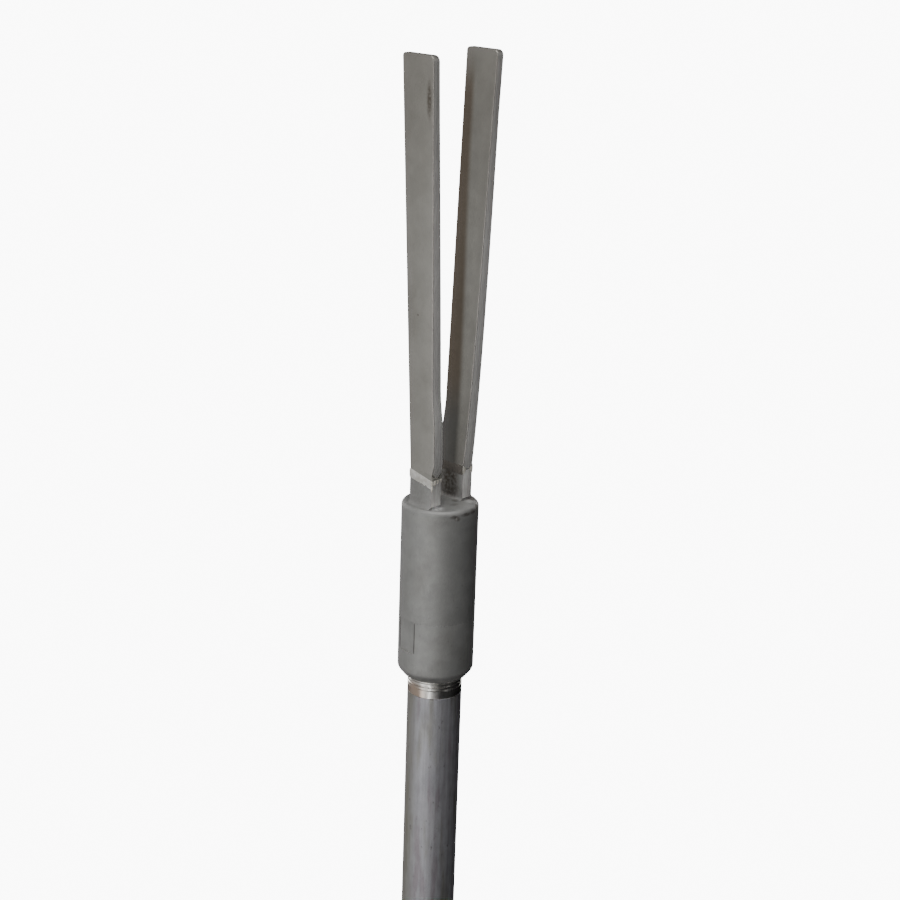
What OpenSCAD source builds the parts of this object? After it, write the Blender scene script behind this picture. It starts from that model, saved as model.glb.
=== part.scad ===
// Vibrating fork level switch with a tube extension, sizes in millimetres.
// The frame's origin lies on the axis, in the sealing plane of the process thread.
// The fork points up along +Z and the housing with its screw cover is at the bottom.

/* [Probe] */
// Length from the sealing plane to the tips of the fork
insertion_l = 600; // [560:10:900]
// Height of the tips above the shoulder of the fork body
fork_h = 244.4; // [180:0.2:300]

/* [Paddles] */
// Height of the welded joint above the shoulder
stub_h = 17.4; // [14:0.2:40]
// Width of a paddle at the weld
root_w = 16.8; // [14:0.2:18]
// Thickness of a paddle at the weld
root_t = 7.4; // [6:0.2:8]
// Distance of a stub's outer face from the axis
root_out = 15.9; // [15:0.1:16.5]
// Width of a paddle at its tip
tip_w = 22; // [18:0.5:24]
// Thickness of a paddle at its tip
tip_t = 4.8; // [3.6:0.2:7]
// Distance of a tip's outer face from the axis
tip_out = 26.1; // [17:0.1:26.2]
// Corner radius of a tip on the near narrow side
tip_near_r = 3.2; // [1:0.1:6]
// Corner radius of a tip on the far narrow side
tip_far_r = 1.4; // [0.6:0.1:6]
// Depth of the weld groove on each wide face
weld_depth = 2.4; // [1:0.1:2.6]
// Half the height of a weld seam
weld_half = 2.6; // [1:0.1:4]
// How far a weld seam stands proud
weld_proud = 0.3; // [0.1:0.05:1]
// How far the left paddle's near edge swells above its weld
near_swell = 1.5; // [0.2:0.1:3]
// How far the right paddle's far edge swells above its weld
far_swell = 1.5; // [0.2:0.1:3]
// Height of the near swelling above the weld
near_swell_h = 31; // [20:1:60]
// Height of the far swelling above the weld
far_swell_h = 21; // [12:1:60]

/* [Fork body] */
// Outer diameter of the fork body and the adapter
sleeve_d = 43; // [42:0.5:48]
// Length of the fork body from its shoulder to the seam
body_l = 66.6; // [58:0.2:90]
// Edge radius of the shoulder
shoulder_r = 2.4; // [0.5:0.1:3]
// Radius between the outer face of a stub and the shoulder
blend_r = 2.5; // [1:0.1:3]
// Radius between the inner face of a stub and the shoulder
gap_r = 2; // [1:0.5:4]
// Diameter of the chamber for the drive
chamber_d = 30; // [29:0.5:32]
// Depth of the chamber's roof below the shoulder
roof_depth = 3.6; // [2:0.1:5]
// Length of the adapter's spigot in the fork body
spigot_l = 12; // [8:1:16]
// Wall of the fork body round the spigot
socket_wall = 4.4; // [3:0.1:5]

/* [Adapter] */
// Length of the adapter from the seam to its nose
adapter_l = 36; // [34:1:60]
// Diameter of the nose's flat end
nose_d = 36; // [34:0.5:40]
// Angle of the nose's cone to the axis in degrees
nose_angle = 40; // [25:1:60]
// Radius between the cone and the cylinder
nose_r = 4; // [1:0.5:8]
// Width across the wrench flats
flat_af = 41; // [39:0.5:41.5]
// Height of the wrench flats
flat_h = 19; // [10:1:22]
// Turn of the wrench flats from the paddles in degrees
flat_turn = -8; // [-90:1:90]
// Depth of the adapter's thread for the nipple
thread_in = 14; // [8:1:16]

/* [Tube] */
// Outer diameter of the extension tube
tube_d = 31; // [30:0.1:32]
// Wall of the extension tube
tube_wall = 2.6; // [1.5:0.1:2.6]
// Length of the nipple that shows below the nose
nipple_l = 11; // [6:0.5:20]
// Pitch of the nipple's thread
nipple_pitch = 2.309; // [1:0.001:3]
// Depth of the nipple's thread
nipple_groove = 0.7; // [0.2:0.05:1]

/* [Drive] */
// Diameter of the drive bolt
bolt_d = 8; // [6:0.5:8]
// Length of the bolt's blind thread in the boss
bolt_bite = 6.4; // [4:0.1:6.4]
// Height of the boss under the chamber's roof
boss_h = 5.4; // [3:0.1:6]
// Height of the ring that presses on the chamber's roof
ring_h = 7; // [6.5:0.5:10]
// Wall of the pressure ring
ring_wall = 3.4; // [2:0.1:4]
// Thickness of the pressure plate
plate_t = 4; // [2:0.5:6]
// Number of piezo discs
disc_count = 4; // [2:2:6]
// Diameter of a piezo disc
disc_d = 20; // [16:0.5:20.4]
// Thickness of a piezo disc
disc_t = 3; // [1.5:0.5:3]
// Thickness of a contact disc
contact_t = 0.4; // [0.2:0.1:0.8]
// Thickness of an insulating disc
insulator_t = 1; // [0.5:0.25:2]
// Thickness of the thrust washer
washer_t = 3; // [2:0.5:4]
// Width across the flats of the clamp nut
nut_af = 13; // [12:0.5:17]
// Height of the clamp nut
nut_h = 6.5; // [4:0.5:8]
// Diameter of a sensor lead
lead_d = 1.6; // [1:0.1:2]
// Distance of a sensor lead from the axis
lead_r = 11.6; // [11.3:0.1:11.8]
// Thickness of the plug that seals the leads in the adapter
lead_plug_t = 8; // [5:0.5:12]
// Thickness of a spacer in the tube
spacer_t = 6; // [3:0.5:10]
// Number of spacers in the tube
spacer_count = 2; // [1:1:4]

/* [Process connection] */
// Outer diameter of the process thread
thread_d = 59.6; // [57.5:0.1:62]
// Length of the process thread above the sealing plane
thread_l = 27; // [20:1:36]
// Diameter of the undercut behind the thread
undercut_d = 57; // [50:0.5:57]
// Width across the flats of the hexagon
hex_af = 70; // [67:1:80]
// Height of the hexagon
hex_h = 20; // [17:1:26]
// Thickness of the sealing gasket
gasket_t = 2; // [1:0.5:3]
// Outer diameter of the sealing gasket
gasket_d = 67; // [65:0.5:67]
// Depth of the tube's seat below the sealing plane
tube_seat = 14; // [8:1:18]
// Leg of the weld between the tube and the fitting
tube_weld_leg = 3.5; // [2:0.5:5]
// Diameter of the stem that the housing turns on
stem_d = 40; // [36:0.5:42]
// Length of the stem below the hexagon
stem_l = 32; // [30:1:40]

/* [Housing] */
// Outer diameter of the housing
housing_d = 95; // [94:1:110]
// Wall of the housing
housing_wall = 5.5; // [4:0.5:6]
// Outer diameter of the housing's collar
collar_d = 54; // [50:1:58]
// Drop of the housing's sloping shoulder
slope_drop = 11; // [8:1:16]
// Thickness of the housing's roof beside the stem
roof_t = 5; // [4:0.5:8]
// Radius of the housing's edges
housing_r = 6; // [2:0.5:8]
// Length of the housing's straight wall down to the cover's seat
housing_l = 64; // [62:1:90]
// Length of the rim that the cover goes over
rim_l = 12; // [8:1:16]
// Step from the wall to the rim
rim_step = 2.5; // [1.5:0.1:3]

/* [Cover] */
// Thickness of the cover's end
cover_t = 5; // [3:0.5:8]
// Wall of the cover's skirt
skirt_wall = 4; // [3:0.5:6]
// Room between the rim's end and the cover's inner face
cover_room = 5; // [2:0.5:20]
// Edge radius of the cover
cover_r = 4; // [1:0.5:6]
// Number of grip ribs round the cover
grip_count = 12; // [6:1:20]
// Radius of a grip rib
grip_r = 3; // [1.5:0.1:3.5]

/* [Cable entries] */
// Diameter of the threaded entries
entry_d = 20; // [16:0.5:20]
// Diameter of the bosses round the entries
entry_boss_d = 28; // [26:0.5:28]
// Distance of a boss's face from the axis
entry_face = 53.5; // [52:0.5:60]
// Width across the flats of the gland's nuts and of the plug
entry_af = 24; // [23:0.5:26]
// Thickness of the sealing washers
entry_washer_t = 2; // [1:0.5:3]
// Diameter of the cable's hole in the gland's seal
cable_d = 8; // [5:0.5:9]
// Length of the gland's seal
seal_l = 12; // [8:0.5:16]

/* [Electronics] */
// Height of the electronics insert
insert_h = 24; // [12:1:30]
// Room between the stem's end and the insert
insert_room = 12; // [6:1:20]
// Gap round the insert
insert_gap = 1; // [0.5:0.1:3]
// Distance of the insert's screws from the axis
insert_screw_r = 33; // [32:0.5:35]
// Number of screw terminals
terminal_count = 5; // [3:1:5]
// Pitch of the screw terminals
terminal_pitch = 7.6; // [6:0.1:8]
// Height of the terminal block
terminal_h = 12; // [8:0.5:14]
// Travel of the two sliders
slider_travel = 4; // [2:0.5:5]
// Diameter of the signal lamp's lens
lens_d = 5; // [3:0.5:6]

/* [Hidden] */
$fn = 96;

// Clearances: of a fixed fit, of the turning stem, and between pieces that move apart
fit = 0.05;
turn_fit = 0.06;
free_gap = 0.4;
screw_play = 0.2;
head_play = 0.4;
cord_play = 0.1;
groove_play = 0.2;
// A cut runs past the face that it opens by this much
past = 1;

// Colours of the finishes
blasted_steel = "#8b8c89";
turned_steel = "#a9a9a6";
drawn_steel = "#8f8d8a";
weld_steel = "#b9b6ae";
brass_tone = "#b99a56";
ceramic_tone = "#d9d2bf";
insulator_tone = "#e8e6df";
rubber_tone = "#232323";
housing_tone = "#6f7a83";
insert_tone = "#3c4043";
screw_tone = "#b4b5b3";

// Heights on the axis
shoulder_z = insertion_l - fork_h;
seam_z = shoulder_z - body_l;
nose_z = seam_z - adapter_l;
tube_top_z = nose_z - nipple_l;
hex_top_z = -gasket_t;
hex_bottom_z = hex_top_z - hex_h;
stem_end_z = hex_bottom_z - stem_l;

// Radii of the fork body and of what it holds
sleeve_r = sleeve_d / 2;
chamber_r = chamber_d / 2;
socket_r = sleeve_r - socket_wall;
tube_r = tube_d / 2;
tube_bore_r = tube_r - tube_wall;
bolt_r = bolt_d / 2;

// Sections of the paddles
root_in = root_out - root_t;
tip_in = tip_out - tip_t;
tip_chamfer = 0.5;
arc_steps = 5;
swell_foot = 8;
swell_run = 14;
swell_r = 80;

// Heights of the drive stack
chamber_roof_z = shoulder_z - roof_depth;
boss_wall = 3;
boss_r = bolt_r + boss_wall;
ring_bottom_z = chamber_roof_z - ring_h;
plate_bottom_z = ring_bottom_z - plate_t;
stack_top_z = plate_bottom_z - insulator_t;
layer_t = disc_t + contact_t;
stack_bottom_z = stack_top_z - disc_count * layer_t - contact_t;
washer_top_z = stack_bottom_z - insulator_t;
nut_top_z = washer_top_z - washer_t;
nut_chamfer = 0.6;
bolt_spare = 3;
bolt_end_z = nut_top_z - nut_h - bolt_spare;
bolt_top_z = chamber_roof_z - boss_h + bolt_bite;
disc_play = 0.5;
disc_bore_r = bolt_r + disc_play;
tab_rim = 0.7;
contact_tab_r = lead_d / 2 + tab_rim;

// Heights of the lead plug and its seat in the adapter
thread_relief = 1;
thread_top_z = nose_z + thread_in + thread_relief;
plug_lift = 6;
plug_seat_z = thread_top_z + plug_lift;
pocket_step = 0.5;
pocket_r = chamber_r - pocket_step;

// Process fitting
thread_r = thread_d / 2;
stem_r = stem_d / 2;
tube_end_z = -tube_seat;
thread_chamfer = 1.2;
hex_chamfer = 1.6;
gasket_play = 0.3;
tube_weld_hollow = 0.4;
o_ring_cord = 2.7;
o_ring_groove_r = stem_r - o_ring_cord - cord_play;
o_ring_drop = 6;
o_ring_z = hex_bottom_z - o_ring_drop;
ring_groove_depth = 1.4;
retaining_t = 1.6;
retaining_lip = 3.5;
retaining_r = stem_r + retaining_lip;
retaining_gap = 6;
retaining_turn = 45;
socket_t = 10;

// Groove in the stem for the locking screw, and the screw
lock_drop = 13;
lock_z = hex_bottom_z - lock_drop;
lock_groove_w = 6;
lock_groove_depth = 1.5;
lock_screw_r = 3;
lock_tip_r = 2;
lock_tip_l = 4;
lock_sink = 0.5;
lock_key_af = 3;
lock_key_depth = 3;

// Housing
housing_top_z = hex_bottom_z - free_gap;
stem_reach = 4;
inner_roof_z = stem_end_z + stem_reach;
retaining_top_z = inner_roof_z - free_gap;
slope_top_z = inner_roof_z + roof_t;
housing_out_r = housing_d / 2;
cavity_r = housing_out_r - housing_wall;
collar_r = collar_d / 2;
neck_bore_r = stem_r + turn_fit;
slope_bottom_z = slope_top_z - slope_drop;
collar_step = 2;
inner_slope_top_r = collar_r - collar_step;
inner_slope_bottom_z = slope_bottom_z - roof_t;
rim_seat_z = slope_bottom_z - housing_l;
rim_end_z = rim_seat_z - rim_l;
rim_r = housing_out_r - rim_step;
cover_ring_cord = 2.4;
cover_ring_drop = 3;
cover_ring_z = rim_seat_z - cover_ring_drop;
cover_ring_groove_r = rim_r - cover_ring_cord - cord_play;

// Ground screw: its pad on the housing's wall, its washer, head and slots
ground_drop = 22;
ground_z = slope_bottom_z - ground_drop;
ground_pad_r = 7;
ground_reach = 3;
ground_face = housing_out_r + ground_reach;
ground_depth = 7;
ground_screw_r = 2.5;
ground_washer_r = 5.4;
ground_washer_t = 1;
ground_head_r = 4.4;
ground_head_t = 3;
ground_slot = [4.8, 1, 1.6];

// Electronics and cable entries
insert_r = cavity_r - insert_gap;
insert_top_z = stem_end_z - insert_room;
insert_face_z = insert_top_z - insert_h;
entry_lift = 2;
entry_z = rim_seat_z + entry_boss_d / 2 + entry_lift;
entry_r = entry_d / 2;
post_r = 4;
screw_r = 2;
screw_head_r = 3.6;
screw_head_h = 2.4;
screw_sink = 1;
screw_grip = 6;
screw_slot = [4, 0.8, 1.2];
screw_head_z = insert_face_z + screw_head_h + screw_sink;
terminal_wall = 1;
terminal_w = terminal_count * terminal_pitch + 2 * terminal_wall;
terminal_y = 13;
terminal_d = 14;
terminal_z = insert_face_z - terminal_h;
terminal_step = [3, 4];
terminal_screw_r = 2;
terminal_screw_h = 3;
terminal_screw_y = terminal_y + 5;
terminal_screw_sink = 1;
terminal_slot = [0.6, 0.9];
wire_inlet = [3.6, 9, 2.8];
wire_inlet_drop = 0.8;
slider_y = -18;
failsafe_x = -16;
density_x = 3;
slider_base = [7.2, 5, 1.5];
slider_knob = [3.6, 2, 4];
slider_lip = 1;
slider_room = slider_travel + 2 * free_gap;
slider_knob_x = (slider_base.x - slider_knob.x) / 2;
lens_x = 19;
lens_depth = 3;

// Gland and plug, along the entry's axis
entry_start = sqrt(cavity_r * cavity_r - entry_r * entry_r) - past;
nut_face = entry_face + entry_washer_t;
gland_hex_l = 8;
gland_room = 2.5;
gland_bore_r = cable_d / 2 + gland_room;
seal_wall = 3.5;
seal_r = cable_d / 2 + seal_wall;
gland_spigot_wall = 1.5;
gland_spigot_r = seal_r + gland_spigot_wall;
gland_neck = 3;
seal_start = nut_face + gland_hex_l + gland_neck;
seal_end = seal_start + seal_l;
seal_proud = 3.5;
gland_end = seal_end - seal_proud;
cap_gap = 1.5;
cap_start = nut_face + gland_hex_l + cap_gap;
cap_lip = 3.5;
cap_end = seal_end + cap_lip;
cap_skirt = 1;
cap_step = 0.6;
cap_dome_r = 4;
cap_room = 0.5;
plug_hex_l = 6;
entry_chamfer = 1;
entry_reach = 9.5;
entry_washer_r = entry_boss_d / 2 - 0.5;

// Cover
skirt_in_r = rim_r + free_gap;
cover_out_r = skirt_in_r + skirt_wall;
cover_top_z = rim_seat_z - free_gap;
cover_floor_z = rim_end_z - cover_room;
cover_end_z = cover_floor_z - cover_t;
grip_stop = 3;

// Rounds one corner of an outline: points from the line a-b to the line b-c on radius r
function unit(v) = v / norm(v);
function corner(a, b, c, r) =
    let (
        u = unit(a - b),
        v = unit(c - b),
        half = acos(u * v) / 2,
        centre = b + unit(u + v) * r / sin(half),
        p = b + u * r / tan(half) - centre,
        q = b + v * r / tan(half) - centre,
        start = atan2(p.y, p.x),
        turn = (atan2(q.y, q.x) - start + 540) % 360 - 180,
        steps = max(2, ceil(abs(turn) / 15))
    )
    [for (i = [0:steps]) centre + r * [cos(start + turn * i / steps), sin(start + turn * i / steps)]];

// An outline whose points each hold x, y and the radius of that corner
function rounded(points) =
    let (n = len(points), flat = [for (p = points) [p[0], p[1]]])
    [for (i = [0:n - 1])
        each points[i][2] == 0
            ? [flat[i]]
            : corner(flat[(i + n - 1) % n], flat[i], flat[(i + 1) % n], points[i][2])];

// Widths between two heights on a straight taper
function taper(from, to, z0, z1, z) = from + (to - from) * (z - z0) / (z1 - z0);
function paddle_out(z) = taper(root_out, tip_out, stub_h, fork_h, z);
function paddle_in(z) = taper(root_in, tip_in, stub_h, fork_h, z);
function paddle_half(z) = taper(root_w / 2, tip_w / 2, stub_h, fork_h, z);
function inner_slope_z(r) =
    taper(inner_roof_z, inner_slope_bottom_z, inner_slope_top_r, cavity_r, r);

// A round bar and a ring between two heights
module bar(r, z0, z1) translate([0, 0, z0]) cylinder(r = r, h = z1 - z0);
module ring(r_out, r_in, z0, z1) difference() {
    bar(r_out, z0, z1);
    bar(r_in, z0 - past, z1 + past);
}

// A hexagonal bar whose corners are turned off at both ends
module hex_bar(af, z0, z1, chamfer) intersection() {
    translate([0, 0, z0]) cylinder(d = af / cos(30), h = z1 - z0, $fn = 6);
    rotate_extrude() polygon([
        [0, z0], [af / 2, z0], [af / 2 + chamfer * 2, z0 + chamfer],
        [af / 2 + chamfer * 2, z1 - chamfer], [af / 2, z1], [0, z1]
    ]);
}

// A ring of round cord
module cord_ring(groove_r, cord, z) translate([0, 0, z])
    rotate_extrude() translate([groove_r + cord / 2, 0]) circle(d = cord);

// Stands a flat outline up in the XZ plane, or in the YZ plane from the axis outwards
module across(width) rotate([90, 0, 0]) linear_extrude(width, center = true) children();
module outwards(reach) rotate([90, 0, 90]) linear_extrude(reach) children();

// Turns a module's +Z axis to point out along an entry, side 1 for +X and -1 for -X
module at_entry(side) translate([0, 0, entry_z]) rotate([0, side * 90, 0]) children();

// Turns a module's +Z axis to point out along the locking screw or the ground screw
module at_lock() translate([0, 0, lock_z]) rotate([90, 0, 0]) children();
module at_ground() translate([0, 0, ground_z]) rotate([90, 0, 0]) children();

// Fork body: turned barrel with a flat top and two stubs, milled from one bar
module stub_outline() polygon(concat(
    [[root_out + blend_r, -past], [root_in - gap_r, -past]],
    [for (i = [0:arc_steps]) let (turn = 90 * i / arc_steps) [
        root_in - gap_r + gap_r * sin(turn),
        gap_r - gap_r * cos(turn)
    ]],
    [
        [root_in, stub_h - weld_half], [root_in + weld_depth, stub_h],
        [root_out - weld_depth, stub_h], [root_out, stub_h - weld_half]
    ],
    [for (i = [0:arc_steps]) let (turn = 90 * i / arc_steps) [
        root_out + blend_r - blend_r * cos(turn),
        blend_r - blend_r * sin(turn)
    ]]
));
module barrel() rotate_extrude() polygon(concat(
    [[0, -body_l], [sleeve_r, -body_l]],
    [for (i = [0:arc_steps]) let (turn = 90 * i / arc_steps) [
        sleeve_r - shoulder_r + shoulder_r * cos(turn),
        -shoulder_r + shoulder_r * sin(turn)
    ]],
    [[0, 0]]
));
module fork_body() color(blasted_steel) difference() {
    union() {
        difference() {
            translate([0, 0, shoulder_z]) union() {
                barrel();
                for (side = [0, 1]) mirror([side, 0, 0]) across(root_w) stub_outline();
            }
            bar(chamber_r, seam_z - past, chamber_roof_z);
        }
        bar(boss_r, chamber_roof_z - boss_h, chamber_roof_z + roof_depth / 2);
    }
    bar(bolt_r + fit, chamber_roof_z - boss_h - past, bolt_top_z + fit);
    bar(socket_r + fit, seam_z - past, seam_z + spigot_l + fit);
}

// Paddles: plates that lean outwards, wider and thinner towards the tip, each swollen at one
// edge where its weld was built up and ground. Edge 1 is the far one and -1 the near one.
function tip_corner_r(edge) = edge > 0 ? tip_far_r : tip_near_r;
module paddle_side() polygon([
    [root_in + weld_depth, stub_h],
    [root_out - weld_depth, stub_h],
    [paddle_out(stub_h + weld_half), stub_h + weld_half],
    [paddle_out(fork_h - tip_chamfer), fork_h - tip_chamfer],
    [tip_out - tip_chamfer, fork_h],
    [tip_in + tip_chamfer, fork_h],
    [paddle_in(fork_h - tip_chamfer), fork_h - tip_chamfer],
    [paddle_in(stub_h + weld_half), stub_h + weld_half]
]);
module paddle_face(edge, swell, reach) polygon(rounded([
    [-edge * paddle_half(stub_h), stub_h, 0],
    [edge * paddle_half(stub_h), stub_h, 0],
    [edge * (paddle_half(stub_h + swell_foot) + swell), stub_h + swell_foot, 0],
    [edge * (paddle_half(stub_h + reach) + swell), stub_h + reach, swell_r],
    [edge * paddle_half(stub_h + reach + swell_run), stub_h + reach + swell_run, swell_r],
    [edge * paddle_half(fork_h), fork_h, tip_corner_r(edge)],
    [-edge * paddle_half(fork_h), fork_h, tip_corner_r(-edge)]
]));
module paddle(edge, swell, reach) translate([0, 0, shoulder_z]) intersection() {
    across(tip_w + past) paddle_side();
    outwards(tip_out + past) paddle_face(edge, swell, reach);
}
module right_paddle() color(blasted_steel) paddle(1, far_swell, far_swell_h);
module left_paddle() color(blasted_steel) mirror([1, 0, 0]) paddle(-1, near_swell, near_swell_h);

// Welds: the metal in the grooves between the stubs and the paddles
module weld_seam(groove_x, stub_x, paddle_x, proud) translate([0, 0, shoulder_z])
    across(root_w) polygon([
        [groove_x, stub_h], [stub_x, stub_h - weld_half],
        [stub_x + proud, stub_h], [paddle_x, stub_h + weld_half]
    ]);
module paddle_welds() color(weld_steel) for (side = [0, 1]) mirror([side, 0, 0]) {
    weld_seam(root_out - weld_depth, root_out, paddle_out(stub_h + weld_half), weld_proud);
    weld_seam(root_in + weld_depth, root_in, paddle_in(stub_h + weld_half), -weld_proud);
}

// Adapter: carries the fork body on its spigot and ends in a coned nose with wrench flats
module adapter_sleeve() color(blasted_steel) difference() {
    rotate_extrude() polygon(rounded([
        [0, seam_z + spigot_l, 0],
        [0, nose_z, 0],
        [nose_d / 2, nose_z, 0],
        [sleeve_r, nose_z + (sleeve_r - nose_d / 2) / tan(nose_angle), nose_r],
        [sleeve_r, seam_z, 0],
        [socket_r, seam_z, 0],
        [socket_r, seam_z + spigot_l, 0]
    ]));
    bar(pocket_r, plug_seat_z, seam_z + spigot_l + past);
    bar(tube_bore_r, thread_top_z - past, plug_seat_z + past);
    bar(tube_r + fit, nose_z - past, thread_top_z);
    for (side = [0, 180]) rotate([0, 0, flat_turn + side])
        translate([flat_af / 2, -sleeve_d / 2, seam_z - flat_h])
            cube([sleeve_d, sleeve_d, flat_h + past]);
}

// Nipple: screwed into the adapter, with some turns of its thread in view
module nipple_turns() rotate_extrude() polygon(concat(
    [[0, tube_top_z], [tube_r, tube_top_z]],
    [for (z = [tube_top_z + 2 * nipple_pitch : nipple_pitch : nose_z - 0.6 * nipple_pitch])
        each [
            [tube_r, z - nipple_pitch / 2],
            [tube_r - nipple_groove, z],
            [tube_r, z + nipple_pitch / 2]
        ]],
    [[tube_r, nose_z + thread_in], [0, nose_z + thread_in]]
));
module threaded_nipple() color(turned_steel) difference() {
    nipple_turns();
    bar(tube_bore_r, tube_top_z - past, nose_z + thread_in + past);
}

// Extension tube, from its seat in the process fitting to the nipple
module extension_tube() color(drawn_steel)
    ring(tube_r, tube_bore_r, tube_end_z, tube_top_z);

// Drive: a bolt pulls on the diaphragm while the stack pushes on the ring at its edge
module drive_bolt() color(turned_steel) bar(bolt_r, bolt_end_z, bolt_top_z);
module pressure_ring() color(turned_steel)
    ring(chamber_r - fit, chamber_r - ring_wall, ring_bottom_z, chamber_roof_z);
module pressure_plate() color(turned_steel)
    ring(chamber_r - fit, bolt_r + fit, plate_bottom_z, ring_bottom_z);
module insulating_discs() color(insulator_tone) {
    ring(disc_d / 2, disc_bore_r, stack_top_z, plate_bottom_z);
    ring(disc_d / 2, disc_bore_r, washer_top_z, stack_bottom_z);
}
module piezo_discs() color(ceramic_tone) for (i = [1:disc_count])
    ring(disc_d / 2, disc_bore_r, stack_top_z - i * layer_t, stack_top_z - i * layer_t + disc_t);
module contact_disc(side) difference() {
    union() {
        cylinder(d = disc_d, h = contact_t);
        translate([-contact_tab_r, side > 0 ? 0 : -lead_r, 0])
            cube([2 * contact_tab_r, lead_r, contact_t]);
        translate([0, side * lead_r, 0]) cylinder(r = contact_tab_r, h = contact_t);
    }
    translate([0, 0, -past]) cylinder(r = disc_bore_r, h = contact_t + 2 * past);
    translate([0, side * lead_r, -past]) cylinder(r = lead_d / 2 + fit, h = contact_t + 2 * past);
}
module contact_discs() color(brass_tone) for (i = [0:disc_count])
    translate([0, 0, stack_top_z - contact_t - i * layer_t]) contact_disc(i % 2 == 0 ? 1 : -1);
module thrust_washer() color(turned_steel)
    ring(disc_d / 2, bolt_r + fit, nut_top_z, washer_top_z);
module clamp_nut() color(screw_tone) difference() {
    hex_bar(nut_af, nut_top_z - nut_h, nut_top_z, nut_chamfer);
    bar(bolt_r + fit, nut_top_z - nut_h - past, nut_top_z + past);
}

// Leads: two insulated rods of wire from the contact discs down to the socket in the stem
module lead_holes(z0, z1) for (side = [-1, 1])
    translate([0, side * lead_r, 0]) bar(lead_d / 2 + fit, z0, z1);
module sensor_leads() color("#a33a2c") for (side = [-1, 1])
    translate([0, side * lead_r, 0])
        bar(lead_d / 2, stem_end_z + socket_t / 2, stack_top_z + (side > 0 ? 0 : -layer_t));
module lead_disc(r, z0, z1) difference() {
    bar(r, z0, z1);
    lead_holes(z0 - past, z1 + past);
}
module lead_plug() color("#b8573c")
    lead_disc(pocket_r - fit, plug_seat_z, plug_seat_z + lead_plug_t);
module lead_spacers() color(insulator_tone) for (i = [1:spacer_count]) {
    z = tube_end_z + (tube_top_z - tube_end_z) * i / (spacer_count + 1);
    lead_disc(tube_bore_r - fit, z - spacer_t / 2, z + spacer_t / 2);
}
module lead_socket() color(insert_tone) difference() {
    bar(tube_bore_r - fit, stem_end_z, stem_end_z + socket_t);
    lead_holes(stem_end_z + socket_t / 2, stem_end_z + socket_t + past);
}

// Process fitting: thread, hexagon and the stem for the housing, turned from one bar
module stem_groove(z, width, groove_r) ring(stem_r + past, groove_r, z - width / 2, z + width / 2);
module process_fitting() color(turned_steel) difference() {
    union() {
        rotate_extrude() polygon([
            [0, hex_top_z - past], [undercut_d / 2, hex_top_z - past], [undercut_d / 2, 0],
            [thread_r, 0], [thread_r, thread_l - thread_chamfer],
            [thread_r - thread_chamfer, thread_l], [0, thread_l]
        ]);
        hex_bar(hex_af, hex_bottom_z, hex_top_z, hex_chamfer);
        bar(stem_r, stem_end_z, hex_bottom_z + past);
    }
    bar(tube_r + fit, tube_end_z, thread_l + past);
    bar(tube_bore_r, stem_end_z - past, tube_end_z + past);
    stem_groove(o_ring_z, o_ring_cord + 2 * groove_play, o_ring_groove_r);
    stem_groove(lock_z, lock_groove_w, stem_r - lock_groove_depth);
    stem_groove(retaining_top_z - retaining_t / 2, retaining_t + 2 * fit, stem_r - ring_groove_depth);
}
module process_gasket() color(rubber_tone)
    ring(gasket_d / 2, thread_r + gasket_play, hex_top_z, 0);
module fitting_weld() color(weld_steel) rotate_extrude() polygon([
    [tube_r, thread_l], [tube_r + tube_weld_leg, thread_l],
    [tube_r + tube_weld_leg * tube_weld_hollow, thread_l + tube_weld_leg * tube_weld_hollow],
    [tube_r, thread_l + tube_weld_leg]
]);
module neck_o_ring() color(rubber_tone) cord_ring(o_ring_groove_r, o_ring_cord, o_ring_z);
module retaining_ring() color(screw_tone) difference() {
    ring(retaining_r, stem_r - ring_groove_depth + fit, retaining_top_z - retaining_t, retaining_top_z);
    rotate([0, 0, retaining_turn])
        translate([0, -retaining_gap / 2, retaining_top_z - retaining_t - past])
            cube([retaining_r + past, retaining_gap, retaining_t + 2 * past]);
}

// Housing: cast cup with a collar for the stem, two entry bosses and a pad for the ground screw
module housing_shell() rotate_extrude() polygon(rounded([
    [neck_bore_r, housing_top_z, 0],
    [neck_bore_r, inner_roof_z, 0],
    [inner_slope_top_r, inner_roof_z, 1],
    [cavity_r, inner_slope_bottom_z, 4],
    [cavity_r, rim_end_z, 0],
    [rim_r, rim_end_z, 0.8],
    [rim_r, rim_seat_z, 0],
    [housing_out_r, rim_seat_z, 1],
    [housing_out_r, slope_bottom_z, housing_r],
    [collar_r, slope_top_z, housing_r / 2],
    [collar_r, housing_top_z, 1.5]
]));
module insert_places() for (turn = [30, 150, 270])
    rotate([0, 0, turn]) translate([insert_screw_r, 0, 0]) children();
module housing() color(housing_tone) difference() {
    union() {
        housing_shell();
        difference() {
            union() {
                for (side = [-1, 1]) at_entry(side) cylinder(d = entry_boss_d, h = entry_face);
                at_ground() bar(ground_pad_r, 0, ground_face);
            }
            bar(cavity_r, rim_end_z - past, slope_top_z);
        }
        insert_places() bar(post_r, insert_top_z, inner_slope_z(insert_screw_r - post_r) + past);
    }
    for (side = [-1, 1]) at_entry(side) bar(entry_r, entry_start, entry_face + past);
    insert_places() bar(screw_r + fit, insert_top_z - past, insert_top_z + screw_grip + fit);
    at_lock() bar(lock_screw_r + fit, 0, collar_r + past);
    at_ground() bar(ground_screw_r + fit, ground_face - ground_depth, ground_face + past);
    ring(rim_r + past, cover_ring_groove_r, cover_ring_z - cover_ring_cord / 2 - groove_play,
        cover_ring_z + cover_ring_cord / 2 + groove_play);
}
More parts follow.
